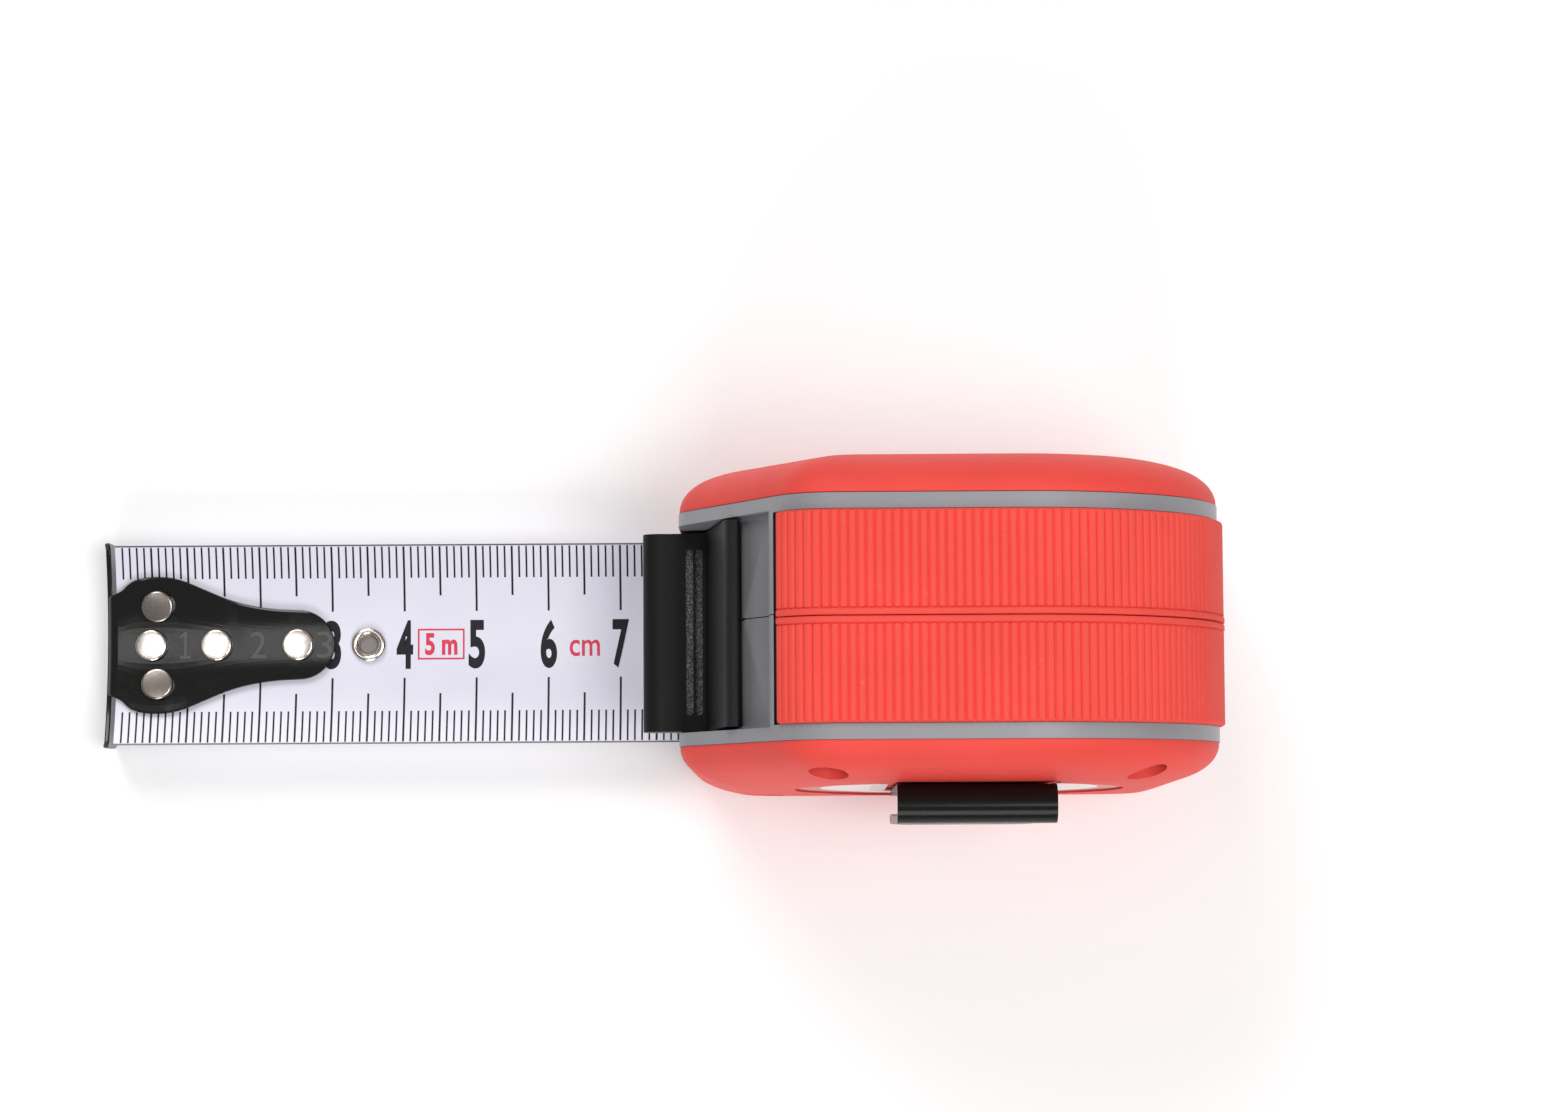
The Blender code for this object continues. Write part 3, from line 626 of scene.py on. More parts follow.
class Shape:
    """Closed meshes in millimetres, turned into Blender meshes in metres."""

    @staticmethod
    def make(vertices: Iterable[Sequence[float]], faces: Iterable[Sequence[int]]) -> bpy.types.Mesh:
        """Mesh from points and faces, facing out.

        Args:
            vertices: points in millimetres.
            faces: indices of each face.

        Returns:
            The mesh.
        """
        mesh = bpy.data.meshes.new("shape")
        mesh.from_pydata([tuple(c * MM for c in v) for v in vertices], [], list(faces))
        bm = bmesh.new()
        bm.from_mesh(mesh)
        bmesh.ops.recalc_face_normals(bm, faces=bm.faces)
        if bm.calc_volume(signed=True) < 0:
            bmesh.ops.reverse_faces(bm, faces=bm.faces)
        bm.to_mesh(mesh)
        bm.free()
        return mesh

    @staticmethod
    def loft(rings: Sequence[Sequence[Sequence[float]]]) -> bpy.types.Mesh:
        """Solid through rings with equal point counts, capped at both ends."""
        count = len(rings[0])
        faces = []
        for r in range(len(rings) - 1):
            for k in range(count):
                n = (k + 1) % count
                faces.append((r * count + k, r * count + n, (r + 1) * count + n, (r + 1) * count + k))
        faces.append(tuple(range(count))[::-1])
        faces.append(tuple(range((len(rings) - 1) * count, len(rings) * count)))
        return Shape.make([p for ring in rings for p in ring], faces)

    @staticmethod
    def prism(axis: str, outline: Sequence[Point2], *levels: float) -> bpy.types.Mesh:
        """Extrude an outline along an axis.

        Args:
            axis: "X", "Y" or "Z".
            outline: its points in the other two coordinates, in alphabetical order.
            levels: places of the cross-sections along the axis.

        Returns:
            The solid.
        """
        order: dict[str, Callable[[float, float, float], Point3]] = {
            "X": lambda a, b, h: (h, a, b),
            "Y": lambda a, b, h: (a, h, b),
            "Z": lambda a, b, h: (a, b, h),
        }
        return Shape.loft([[order[axis](a, b, h) for a, b in outline] for h in levels])

    @staticmethod
    def block(low: Point3, high: Point3) -> bpy.types.Mesh:
        """Rectangular block, used as a cutter."""
        outline = [(low[0], low[2]), (high[0], low[2]), (high[0], high[2]), (low[0], high[2])]
        return Shape.prism("Y", outline, low[1], high[1])

    @staticmethod
    def rod(x: float, z: float, radius: float, low: float, high: float, steps: int = 64) -> bpy.types.Mesh:
        """Round rod along Y."""
        return Shape.prism("Y", Outline.circle(x, z, radius, steps), low, high)

    @staticmethod
    def turned(profile: Sequence[Point2], place: Matrix, steps: int = 64) -> bpy.types.Mesh:
        """Turn a closed (radius, height) profile about local Z.

        Args:
            profile: the profile's points.
            place: where it goes.
            steps: steps round the axis.

        Returns:
            The solid.
        """
        vertices: list[Vector] = []
        rows = []
        for radius, height in profile:
            if radius == 0:
                rows.append([len(vertices)] * steps)
                vertices.append(place @ Vector((0, 0, height)))
                continue
            rows.append(list(range(len(vertices), len(vertices) + steps)))
            for k in range(steps):
                a = 2 * math.pi * k / steps
                vertices.append(place @ Vector((radius * math.cos(a), radius * math.sin(a), height)))
        faces = []
        for r, low in enumerate(rows):
            high = rows[(r + 1) % len(rows)]
            if low[0] == low[1] and high[0] == high[1]:
                continue
            for k in range(steps):
                n = (k + 1) % steps
                faces.append(tuple(dict.fromkeys((low[k], low[n], high[n], high[k]))))
        return Shape.make(vertices, faces)

    @staticmethod
    def combine(mesh: bpy.types.Mesh, operation: str, *tools: bpy.types.Mesh) -> bpy.types.Mesh:
        """Boolean a mesh with others, one after another.

        Args:
            mesh: the mesh to change.
            operation: "DIFFERENCE", "UNION" or "INTERSECT".
            tools: the other solids.

        Returns:
            The result.
        """
        for other in tools:
            target = bpy.data.objects.new("target", mesh)
            tool = bpy.data.objects.new("tool", other)
            for obj in (target, tool):
                bpy.context.scene.collection.objects.link(obj)
            modifier = target.modifiers.new("boolean", "BOOLEAN")
            modifier.operation = operation
            modifier.solver = "EXACT"
            modifier.object = tool
            mesh = bpy.data.meshes.new_from_object(target.evaluated_get(bpy.context.evaluated_depsgraph_get()))
            for obj in (target, tool):
                bpy.data.objects.remove(obj)
        return mesh

    @staticmethod
    def bevelled(mesh: bpy.types.Mesh, width: float, segments: int = 3, angle: float = 35.0) -> bpy.types.Mesh:
        """Round the sharp edges of a mesh.

        Args:
            mesh: the mesh.
            width: width of the rounding in millimetres.
            segments: segments of the rounding.
            angle: least angle of an edge that is rounded, in degrees.

        Returns:
            The rounded mesh.
        """
        mesh.shade_smooth()
        mesh.set_sharp_from_angle(angle=math.radians(32))
        obj = bpy.data.objects.new("bevelled", mesh)
        bpy.context.scene.collection.objects.link(obj)
        modifier = obj.modifiers.new("bevel", "BEVEL")
        modifier.width = width * MM
        modifier.segments = segments
        modifier.limit_method = "ANGLE"
        modifier.angle_limit = math.radians(angle)
        modifier.use_clamp_overlap = True
        modifier.harden_normals = True
        result = bpy.data.meshes.new_from_object(obj.evaluated_get(bpy.context.evaluated_depsgraph_get()))
        bpy.data.objects.remove(obj)
        return result

    @staticmethod
    def merged(meshes: Iterable[bpy.types.Mesh]) -> bpy.types.Mesh:
        """Several solids in one mesh."""
        bm = bmesh.new()
        for mesh in meshes:
            bm.from_mesh(mesh)
        result = bpy.data.meshes.new("merged")
        bm.to_mesh(result)
        bm.free()
        return result


@dataclass
class Piece:
    """A finished piece: its mesh, the body it rides on and the nodes it stands for."""

    name: str
    mesh: bpy.types.Mesh
    finish: bpy.types.Material
    slot: str
    nodes: Sequence[str] = ()
    body: str = "case"
    sharp: float = 32.0

    def put(self) -> bpy.types.Object:
        """Put the piece in the scene, without a body yet."""
        self.mesh.name = self.name
        if not self.mesh.materials or self.mesh.materials[0] is not self.finish:
            self.mesh.materials.clear()
            self.mesh.materials.append(self.finish)
        if not self.mesh.has_custom_normals:
            self.mesh.shade_smooth()
            self.mesh.set_sharp_from_angle(angle=math.radians(self.sharp))
        obj = bpy.data.objects.new(self.name, self.mesh)
        bpy.context.scene.collection.objects.link(obj)
        if self.nodes:
            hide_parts(*self.nodes)
        log.info("%s: %d faces", self.name, len(self.mesh.polygons))
        return obj

    def ride(self) -> bpy.types.Object:
        """Put the piece in the scene on its body."""
        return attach(self.put(), self.body)


# ------------------------------------------------------------------ case
@dataclass
class CasePlan:
    """Sizes that the case's pieces share, from the frame where it states them."""

    back: float = 35.0
    top: float = 66.0
    core_half: float = 15.2
    core_side: float = 14.4
    channel_half: float = 13.5
    slope_foot: float = 38.3
    slope_top_x: float = -19.4
    grip_front: float = -22.45
    grip_foot: float = 8.3
    shelf: float = 21.6
    lean: float = math.radians(6.1)
    seam: float = 0.5
    screws: tuple[Point2, ...] = ((-15.8, 60.6), (24.2, 54.6), (-24.0, 13.5), (28.0, 6.4))

    @property
    def corners(self) -> list[Point3]:
        """Corners of the case's outline: X, Z and radius."""
        return [
            (-self.back, 0.0, 1.5),
            (self.back, 0.0, 6.0),
            (self.back, self.top, 27.0),
            (self.slope_top_x, self.top, 8.0),
            (-self.back, self.slope_foot, 10.0),
        ]

    def outline(self, depth: float = 0.0, steps: int = 20, soften: float = 0.0) -> list[Point2]:
        """The case's outline, moved inwards.

        Args:
            depth: distance to move.
            steps: steps of each corner.
            soften: growth of the smallest radius with depth.

        Returns:
            The points.
        """
        return Outline.rounded(Outline.inset(self.corners, depth, soften), steps)

    def track_x(self, z: float, offset: float = 0.0) -> float:
        """X of the lock track's outer face at a height."""
        return -26.4 + (z - 52.0) * math.tan(self.lean) + offset

    @property
    def rise(self) -> float:
        """Rise of the sloping front per millimetre of X."""
        return (self.top - self.slope_foot) / (self.slope_top_x + self.back)

    def track_meets_slope(self, depth: float, offset: float) -> Point2:
        """Point where the track's face meets a line below the sloping front.

        Args:
            depth: distance of the line below the slope.
            offset: distance of the track's face from its usual place.

        Returns:
            The point.
        """
        lean = math.tan(self.lean)
        foot = self.slope_foot - depth * math.hypot(1, self.rise)
        z = (foot + self.rise * (self.back + self.track_x(0.0, offset))) / (1 - self.rise * lean)
        return self.track_x(z, offset), z


@dataclass
class CaseCore:
    """The two grey halves: bands, cheeks, lock track, shelf and mouth."""

    plan: CasePlan
    finishes: Finishes
    wall: float = 2.7
    seat: float = 1.2
    channel_depth: float = 1.3
    rim_front: float = -23.05
    seat_half: float = 13.25
    shell_wall: float = 1.7
    notch_half: float = 0.55
    leg_slot: tuple[Point3, Point3] = ((-33.4, 9.7, 15.0), (-29.8, 13.45, 25.0))
    bumper_room: tuple[Point3, Point3] = ((-40.0, -9.3, 1.2), (-33.9, 9.3, 4.0))
    mouth_low: float = 4.6
    mouth_high: float = 9.4

    def chamber(self) -> list[Point2]:
        """Outline of the room inside."""
        plan = self.plan
        nose = self.shell_wall - plan.back
        shelf = plan.shelf - self.shell_wall
        return Outline.rounded([
            (nose, 1.8, 0.5),
            (plan.back - self.wall, 1.8, 3.0),
            (plan.back - self.wall, plan.top - self.wall, 24.3),
            (-17.8, plan.top - self.wall, 3.0),
            (*plan.track_meets_slope(self.wall, 1.35), 1.0),
            (plan.track_x(shelf, 1.35), shelf, 0.5),
            (nose, shelf, 0.5),
        ], 8)

    def seat_band(self) -> bpy.types.Mesh:
        """Cutter for the channel that holds the grip."""
        plan = self.plan
        reach = 80.0
        ring = Shape.combine(
            Shape.prism("Y", plan.outline(-3.0), -self.seat_half, self.seat_half),
            "DIFFERENCE",
            Shape.prism("Y", plan.outline(self.seat), -reach, reach),
            Shape.block((plan.grip_front - 1, -reach, -reach), (plan.back - 12, reach, plan.top / 2)),
        )
        kept = Shape.block((plan.grip_front - 0.05, -reach, plan.grip_foot - 0.3), (reach, reach, 2 * reach))
        return Shape.combine(ring, "INTERSECT", kept)

    def half(self, side: Side) -> bpy.types.Mesh:
        """One half of the core."""
        plan = self.plan
        far = side.value * plan.core_half
        near = plan.seam + side.value * 0.06
        body = Shape.prism("Y", plan.outline(steps=24), min(near, far), max(near, far))
        corner = plan.track_meets_slope(self.channel_depth, 0.0)
        lock_room = [
            (-50.0, plan.shelf), (plan.track_x(plan.shelf), plan.shelf), corner,
            (self.rim_front, corner[1] + (self.rim_front - corner[0]) * plan.rise),
            (self.rim_front, 80.0), (-50.0, 80.0),
        ]
        notch = [
            (corner[0] - 1, plan.seam - self.notch_half), (corner[0] + 0.75, plan.seam),
            (corner[0] - 1, plan.seam + self.notch_half),
        ]
        (x, y, z), (x_end, y_end, z_end) = self.leg_slot
        body = Shape.combine(
            body, "DIFFERENCE",
            Shape.prism("Y", self.chamber(), -plan.core_side, plan.core_side),
            self.seat_band(),
            Shape.prism("Y", lock_room, -plan.channel_half, plan.channel_half),
            Shape.block((x, y, z), (x_end, y_end, z_end)),
            Shape.block((x, -y_end, z), (x_end, -y, z_end)),
            Shape.block((-40, -plan.core_side, self.mouth_low), (-32, plan.core_side, self.mouth_high)),
            Shape.block(*self.bumper_room),
            Shape.prism("Z", notch, corner[1] - 2, corner[1] + 6),
        )
        return Shape.bevelled(body, 0.22, 2, 30)

    def build(self) -> None:
        """Make both halves."""
        for side in Side:
            node = f"case_{side.word}"
            Piece(f"core_{side.word}", self.half(side), self.finishes.grey_core, "grey_core", [node]).ride()


@dataclass
class SideCovers:
    """The two red pillow-shaped covers, with label recesses and screw wells."""

    plan: CasePlan
    finishes: Finishes
    rim: float = 15.24
    half: float = 21.35
    wall: float = 1.7
    label_centre: Point2 = (1.5, 33.0)
    recess_radius: float = 21.5
    recess_depth: float = 0.6
    clip_x: float = 2.8
    draft_foot: float = 12.0
    draft_left: float = 0.022
    draft_right: float = 0.01
    soften: float = 0.45
    post_radius: float = 3.4
    post_end: float = 20.3
    well_radius: float = 2.5
    well_floor: float = 16.2
    screw_hole: float = 1.5
    pad_half: float = 12.0
    clip_seat_half: float = 10.5
    clip_seat_face: float = 20.3

    def profile(self) -> list[Point2]:
        """Inset and half width from the rim to the flat side."""
        return Outline.smooth([
            (0.12, self.rim), (0.2, 16.2), (0.66, 17.35), (1.5, 18.4),
            (3.0, 19.5), (5.5, 20.5), (8.5, 21.2), (11.0, self.half),
        ], 5)

    def shell(self, side: Side) -> bpy.types.Mesh:
        """Hollow pillow without its cuts."""
        outer = self.profile()
        inner = [(inset + self.wall, half - self.wall) for inset, half in outer if half - self.wall > self.rim]
        inner = [(inner[0][0], self.rim)] + inner
        rings = []
        for inset, half in inner[::-4] + outer:
            rings.append([(x, side.value * half, z) for x, z in self.plan.outline(inset, 24, self.soften)])
        return Shape.loft(rings)

    def bulge(self, side: Side, depth: float = 0.5) -> bpy.types.Mesh:
        """The cover's outer shape as a full solid, made lower by a depth."""
        return self.draft(Shape.loft([
            [(x, side.value * (half - depth), z) for x, z in self.plan.outline(inset, 24, self.soften)]
            for inset, half in self.profile()
        ]), side)

    def draft(self, mesh: bpy.types.Mesh, side: Side) -> bpy.types.Mesh:
        """Lean a side inwards towards the top.

        Args:
            mesh: a mesh of the cover or its label.
            side: the side it is on.

        Returns:
            The same mesh.
        """
        rate = self.draft_left if side is Side.LEFT else self.draft_right
        for vertex in mesh.vertices:
            out = (abs(vertex.co.y) / MM - self.rim) / (self.half - self.rim)
            up = max(vertex.co.z / MM - self.draft_foot, 0.0)
            vertex.co.y -= side.value * rate * up * max(out, 0.0) * MM
        return mesh

    def cover(self, side: Side) -> bpy.types.Mesh:
        """One cover with its cuts."""
        sign = side.value
        span = sorted((sign * (self.half - self.recess_depth), sign * 30))
        recess = Shape.rod(*self.label_centre, self.recess_radius, *span, 128)
        mesh = self.draft(Shape.combine(self.shell(side), "DIFFERENCE", recess), side)
        cutters = []
        if side is Side.LEFT:
            at, screws = self.clip_x, self.plan.screws
            posts = [Shape.rod(x, z, self.post_radius, -self.post_end, -self.rim, 40) for x, z in screws]
            bound = Shape.prism("Y", self.plan.outline(0.9), -30, 0)
            posts = [Shape.combine(post, "INTERSECT", bound, self.bulge(side)) for post in posts]
            pad = Shape.block((at - self.pad_half, -20.4, 16), (at + self.pad_half, -18.6, 52))
            mesh = Shape.combine(mesh, "UNION", *posts, pad)
            cutters += [Shape.rod(x, z, self.well_radius, -30, -self.well_floor, 48) for x, z in screws]
            cutters += [Shape.rod(x, z, self.screw_hole, -18, -10, 32) for x, z in screws]
            seat = (at - self.clip_seat_half, -30, 21), (at + self.clip_seat_half, -self.clip_seat_face, 80)
            cutters.append(Shape.block(*seat))
            cutters.append(Shape.rod(at, 33.0, self.screw_hole, -30, -self.well_floor, 32))
        mesh = Shape.combine(mesh, "DIFFERENCE", *cutters)
        return Shape.bevelled(mesh, 0.3, 3, 40)

    def build(self) -> None:
        """Make both covers."""
        for side in Side:
            node = f"side_cover_{side.word}"
            Piece(f"cover_{side.word}", self.cover(side), self.finishes.red_shell, "red_shell", [node]).ride()


@dataclass
class Grips:
    """Ribbed rubber over the top and down the rear, with a flat bead beside the seam."""

    plan: CasePlan
    finishes: Finishes
    pitch: float = 1.1
    rib_depth: float = 0.34
    proud: float = 0.7
    under: float = -0.9
    half: float = 13.2
    smooth_below: float = 28.0
    per_rib: int = 10
    groove_steps: tuple[float, ...] = (1.0, 0.6, 0.12)
    tuck: float = 0.32

    def path(self) -> list[tuple[Vector, Vector]]:
        """Points and outward normals along the grip, from the front over the top."""
        ring = [Vector(p) for p in self.plan.outline(steps=96)][::-1]
        start = next(i for i in range(len(ring)) if self._enters(ring[i - 1], ring[i]))
        ring = ring[start:] + ring[:start]
        step = self.pitch / self.per_rib
        result: list[tuple[Vector, Vector]] = []
        spare = 0.0
        for a, b in zip(ring, ring[1:]):
            along = b - a
            length = along.length
            if length < 1e-6:
                continue
            along /= length
            normal = Vector((-along.y, along.x))
            at = spare
            while at < length:
                point = a + along * at
                if point.x > 0 and point.y < self.plan.grip_foot:
                    return result
                if point.x > self.plan.grip_front - self.tuck:
                    result.append((point, normal))
                at += step
            spare = at - length
        return result

    def _enters(self, before: Vector, after: Vector) -> bool:
        """Whether the outline passes the grip's front edge here, on its upper side."""
        front = self.plan.grip_front - 1.5
        return before.x < front <= after.x and after.y > self.plan.top / 2

    def section(self, rib: float) -> list[Point2]:
        """Cross-section at one point, as (distance from the seam, height).

        Args:
            rib: depth of the rib's groove here.

        Returns:
            The closed section.
        """
        top = self.proud
        face = top - rib
        return [
            (0.06, self.under), (0.06, top - 0.14), (0.11, top), (0.22, top + 0.1), (0.74, top + 0.1),
            (0.84, top + 0.04), (0.9, top - 0.14), (1.0, top - 0.2 - rib * 0.5), (1.08, face), (1.4, face),
            (7.0, face), (12.4, face), (12.8, face), (13.0, min(face, top - 0.1)), (13.14, top - 0.42),
            (self.half, top - 0.7), (self.half, self.under),
        ]

    def mesh(self, side: Side) -> bpy.types.Mesh:
        """One half of the grip."""
        rings = []
        path = self.path()
        for k, (point, normal) in enumerate(path):
            phase = min(k % self.per_rib, -k % self.per_rib)
            steep = math.degrees(math.asin(max(-1.0, min(1.0, normal.y))))
            fade = max(0.0, min(1.0, (steep - self.smooth_below) / 1.5))
            ends = min(1.0, k / self.per_rib, (len(path) - 1 - k) / self.per_rib)
            share = self.groove_steps[phase] if phase < len(self.groove_steps) and ends >= 1 else 0.0
            groove = self.rib_depth * share * fade
            shrink = -0.35 * (1 - math.sqrt(max(0.0, 1 - (1 - min(1.0, ends * 2.5)) ** 2)))
            ring = []
            for across, height in self.section(groove):
                lift = height + (shrink if height > 0 else 0)
                place = point + normal * lift
                ring.append((place.x, side.value * across, place.y))
            rings.append(ring)
        return Shape.loft(rings)

    def build(self) -> None:
        """Make both halves."""
        for side in Side:
            node = f"grip_{side.word}"
            rubber = self.finishes.red_rubber
            Piece(f"ribbed_grip_{side.word}", self.mesh(side), rubber, "red_rubber", [node], sharp=60.0).ride()


@dataclass
class Labels:
    """Round printed films in the covers' recesses."""

    plan: CasePlan
    covers: SideCovers

    def build(self) -> None:
        """Make both labels."""
        x, z = self.covers.label_centre
        radius = self.covers.recess_radius - 0.35
        film = LabelFilm("label_film_finish", (x, z), radius).build()
        for side in Side:
            low = self.covers.half - self.covers.recess_depth + 0.1
            disc = Shape.rod(x, z, radius, *sorted((side.value * low, side.value * (low + 0.25))), 128)
            disc = self.covers.draft(disc, side)
            if side is Side.LEFT:
                clip = self.covers.clip_x
                disc = Shape.combine(disc, "DIFFERENCE", Shape.block((clip - 10.8, -30, 20.7), (clip + 10.8, 0, 80)))
            mesh = Shape.bevelled(disc, 0.08, 2)
            Piece(f"sticker_{side.word}", mesh, film, "label_film", [f"label_{side.word}"]).ride()


# ------------------------------------------------------------------ lock
@dataclass
class LockSlider:
    """Black slider with a rounded thumb ledge and two stippled grooves."""

    plan: CasePlan
    finishes: Finishes
    half: float = 13.1
    groove_half: float = 11.0
    groove_radius: float = 0.5
    groove_floor: float = 31.15
    grooves: tuple[float, ...] = (-32.5, -33.75)

    def outline(self) -> list[Point2]:
        """Section of the slider in XZ."""
        foot = self.plan.shelf + 0.3
        back = -0.36
        ledge = Outline.smooth([
            (-32.35, 31.95), (-33.75, 31.6), (-35.45, 31.05), (-36.85, 31.0), (-37.35, 31.03),
        ], 4)
        return [
            (self.plan.track_x(foot, back), foot),
            (self.plan.track_x(51.5, back), 51.5),
            (-27.1, 52.15), (-27.6, 52.3), (-28.2, 52.25), (-28.6, 51.8),
            *Outline.smooth([(-28.75, 51.0), (-30.0, 42.5), (-31.0, 35.2), (-31.4, 32.9)], 4),
            (-31.6, 32.2), *ledge,
            *Outline.arc(-37.85, 29.0, 2.1, 75, 200, 20),
            *Outline.arc(-38.15, 27.4, 1.6, 200, 265, 6),
            (-35.15, 25.2), (-34.75, 24.4), (-34.75, foot),
        ]

    def mesh(self) -> bpy.types.Mesh:
        """The slider with its legs and grooves."""
        body = Shape.prism("Y", self.outline()[::-1], -self.half, self.half)
        body = Shape.bevelled(body, 0.45, 4, 50)
        legs = []
        for side in Side:
            low, high = sorted((side.value * 10.2, side.value * 13.0))
            legs.append(Shape.block((-33.0, low, 9.9), (-31.2, high, self.plan.shelf + 2)))
        body = Shape.combine(body, "UNION", *legs)
        cutters = []
        for x in self.grooves:
            end = self.groove_half - self.groove_radius
            capsule = Outline.arc(x, end, self.groove_radius, 0, 180, 10)
            capsule += Outline.arc(x, -end, self.groove_radius, 180, 360, 10)
            cutters.append(Shape.prism("Z", capsule, self.groove_floor, 34.0))
        return Shape.combine(body, "DIFFERENCE", *cutters)

    def build(self) -> None:
        """Make the slider and give the groove floors their own finish."""
        mesh = self.mesh()
        mesh.materials.clear()
        mesh.materials.append(self.finishes.black_lock)
        mesh.materials.append(self.finishes.stipple)
        for face in mesh.polygons:
            low = abs(face.center.z - self.groove_floor * MM) < 0.02 * MM
            face.material_index = 1 if low and face.normal.z > 0.9 else 0
        Piece("lock_slider", mesh, self.finishes.black_lock, "black_lock", ["lock_button"], "lock").ride()


# ------------------------------------------------------------------ blade
@dataclass
class BladePlan:
    """Sizes that the blade, its print, its hook and its rivets share."""

    zero: float = -114.0
    underside: float = 5.6
    bend: float = 40.0
    flat_half: float = 14.1
    thickness: float = 0.2
    far_end: float = 88.0
    print_lift: float = 0.012
    blend_from: float = 42.0

    def rise(self, y: float) -> float:
        """Height of the underside at a place across the blade."""
        return self.underside + self.bend - math.sqrt(self.bend ** 2 - y ** 2)

    def on_top(self, along: float, across: float, lift: float) -> Point3:
        """A point above the blade's upper face.

        Args:
            along: distance from the zero end.
            across: distance from the centre line, along the curved section.
            lift: height above the upper face.

        Returns:
            The point.
        """
        angle = across / self.bend
        radius = self.bend - self.thickness - lift
        return (self.zero + along, radius * math.sin(angle), self.underside + self.bend - radius * math.cos(angle))

    def upright(self, along: float, y: float) -> Matrix:
        """Placement on the underside, square to the section."""
        lean = math.asin(y / self.bend)
        return Matrix.Translation((self.zero + along, y, self.rise(y))) @ Matrix.Rotation(lean, 4, "X")

    def bend_print(self, mesh: bpy.types.Mesh) -> bpy.types.Mesh:
        """Lay a flat mesh, drawn as (along, across, lift) in millimetres times MM, on the blade."""
        for vertex in mesh.vertices:
            along, across, lift = (c / MM for c in vertex.co)
            vertex.co = Vector(self.on_top(along, across, lift)) * MM
        return mesh


@dataclass
class Print:
    """Figures and marks drawn flat, in (along, across), with Blender's own typeface."""

    plan: BladePlan

    def word(self, text: str, at: Point2, height: float, width: float, bold: float, lift: float) -> bpy.types.Mesh:
        """A short text, centred at a point.

        Args:
            text: what it says.
            at: centre, along and across.
            height: height of a figure.
            width: width of the whole text.
            bold: growth of the strokes, as a share of the height.
            lift: thickness of the print.

        Returns:
            The flat mesh.
        """
        curve = bpy.data.curves.new("word", "FONT")
        curve.body = text
        curve.offset = bold
        curve.extrude = 0.5
        curve.resolution_u = 6
        obj = bpy.data.objects.new("word", curve)
        bpy.context.scene.collection.objects.link(obj)
        mesh = bpy.data.meshes.new_from_object(obj.evaluated_get(bpy.context.evaluated_depsgraph_get()))
        bpy.data.objects.remove(obj)
        bm = bmesh.new()
        bm.from_mesh(mesh)
        bmesh.ops.remove_doubles(bm, verts=bm.verts, dist=1e-5)
        lows = [min(v.co[i] for v in bm.verts) for i in range(2)]
        highs = [max(v.co[i] for v in bm.verts) for i in range(2)]
        for vertex in bm.verts:
            share = [(vertex.co[i] - lows[i]) / (highs[i] - lows[i]) - 0.5 for i in range(2)]
            vertex.co = Vector((
                (at[0] + share[0] * width) * MM,
                (at[1] + share[1] * height) * MM,
                (lift if vertex.co.z > 0 else -0.04) * MM,
            ))
        bm.to_mesh(mesh)
        bm.free()
        return mesh

    def bar(self, along: Point2, across: Point2, lift: float, steps: int = 1) -> bpy.types.Mesh:
        """A straight bar, cut into steps across the blade."""
        outline = [(along[0], -0.04), (along[1], -0.04), (along[1], lift), (along[0], lift)]
        levels = [across[0] + (across[1] - across[0]) * k / steps for k in range(steps + 1)]
        return Shape.prism("Y", outline, *levels)

    def frame(self, along: Point2, across: Point2, line: float, lift: float) -> list[bpy.types.Mesh]:
        """A rectangle drawn with a thin line."""
        return [
            self.bar(along, (across[0], across[0] + line), lift),
            self.bar(along, (across[1] - line, across[1]), lift),
            self.bar((along[0], along[0] + line), (across[0] + line, across[1] - line), lift, 3),
            self.bar((along[1] - line, along[1]), (across[0] + line, across[1] - line), lift, 3),
        ]


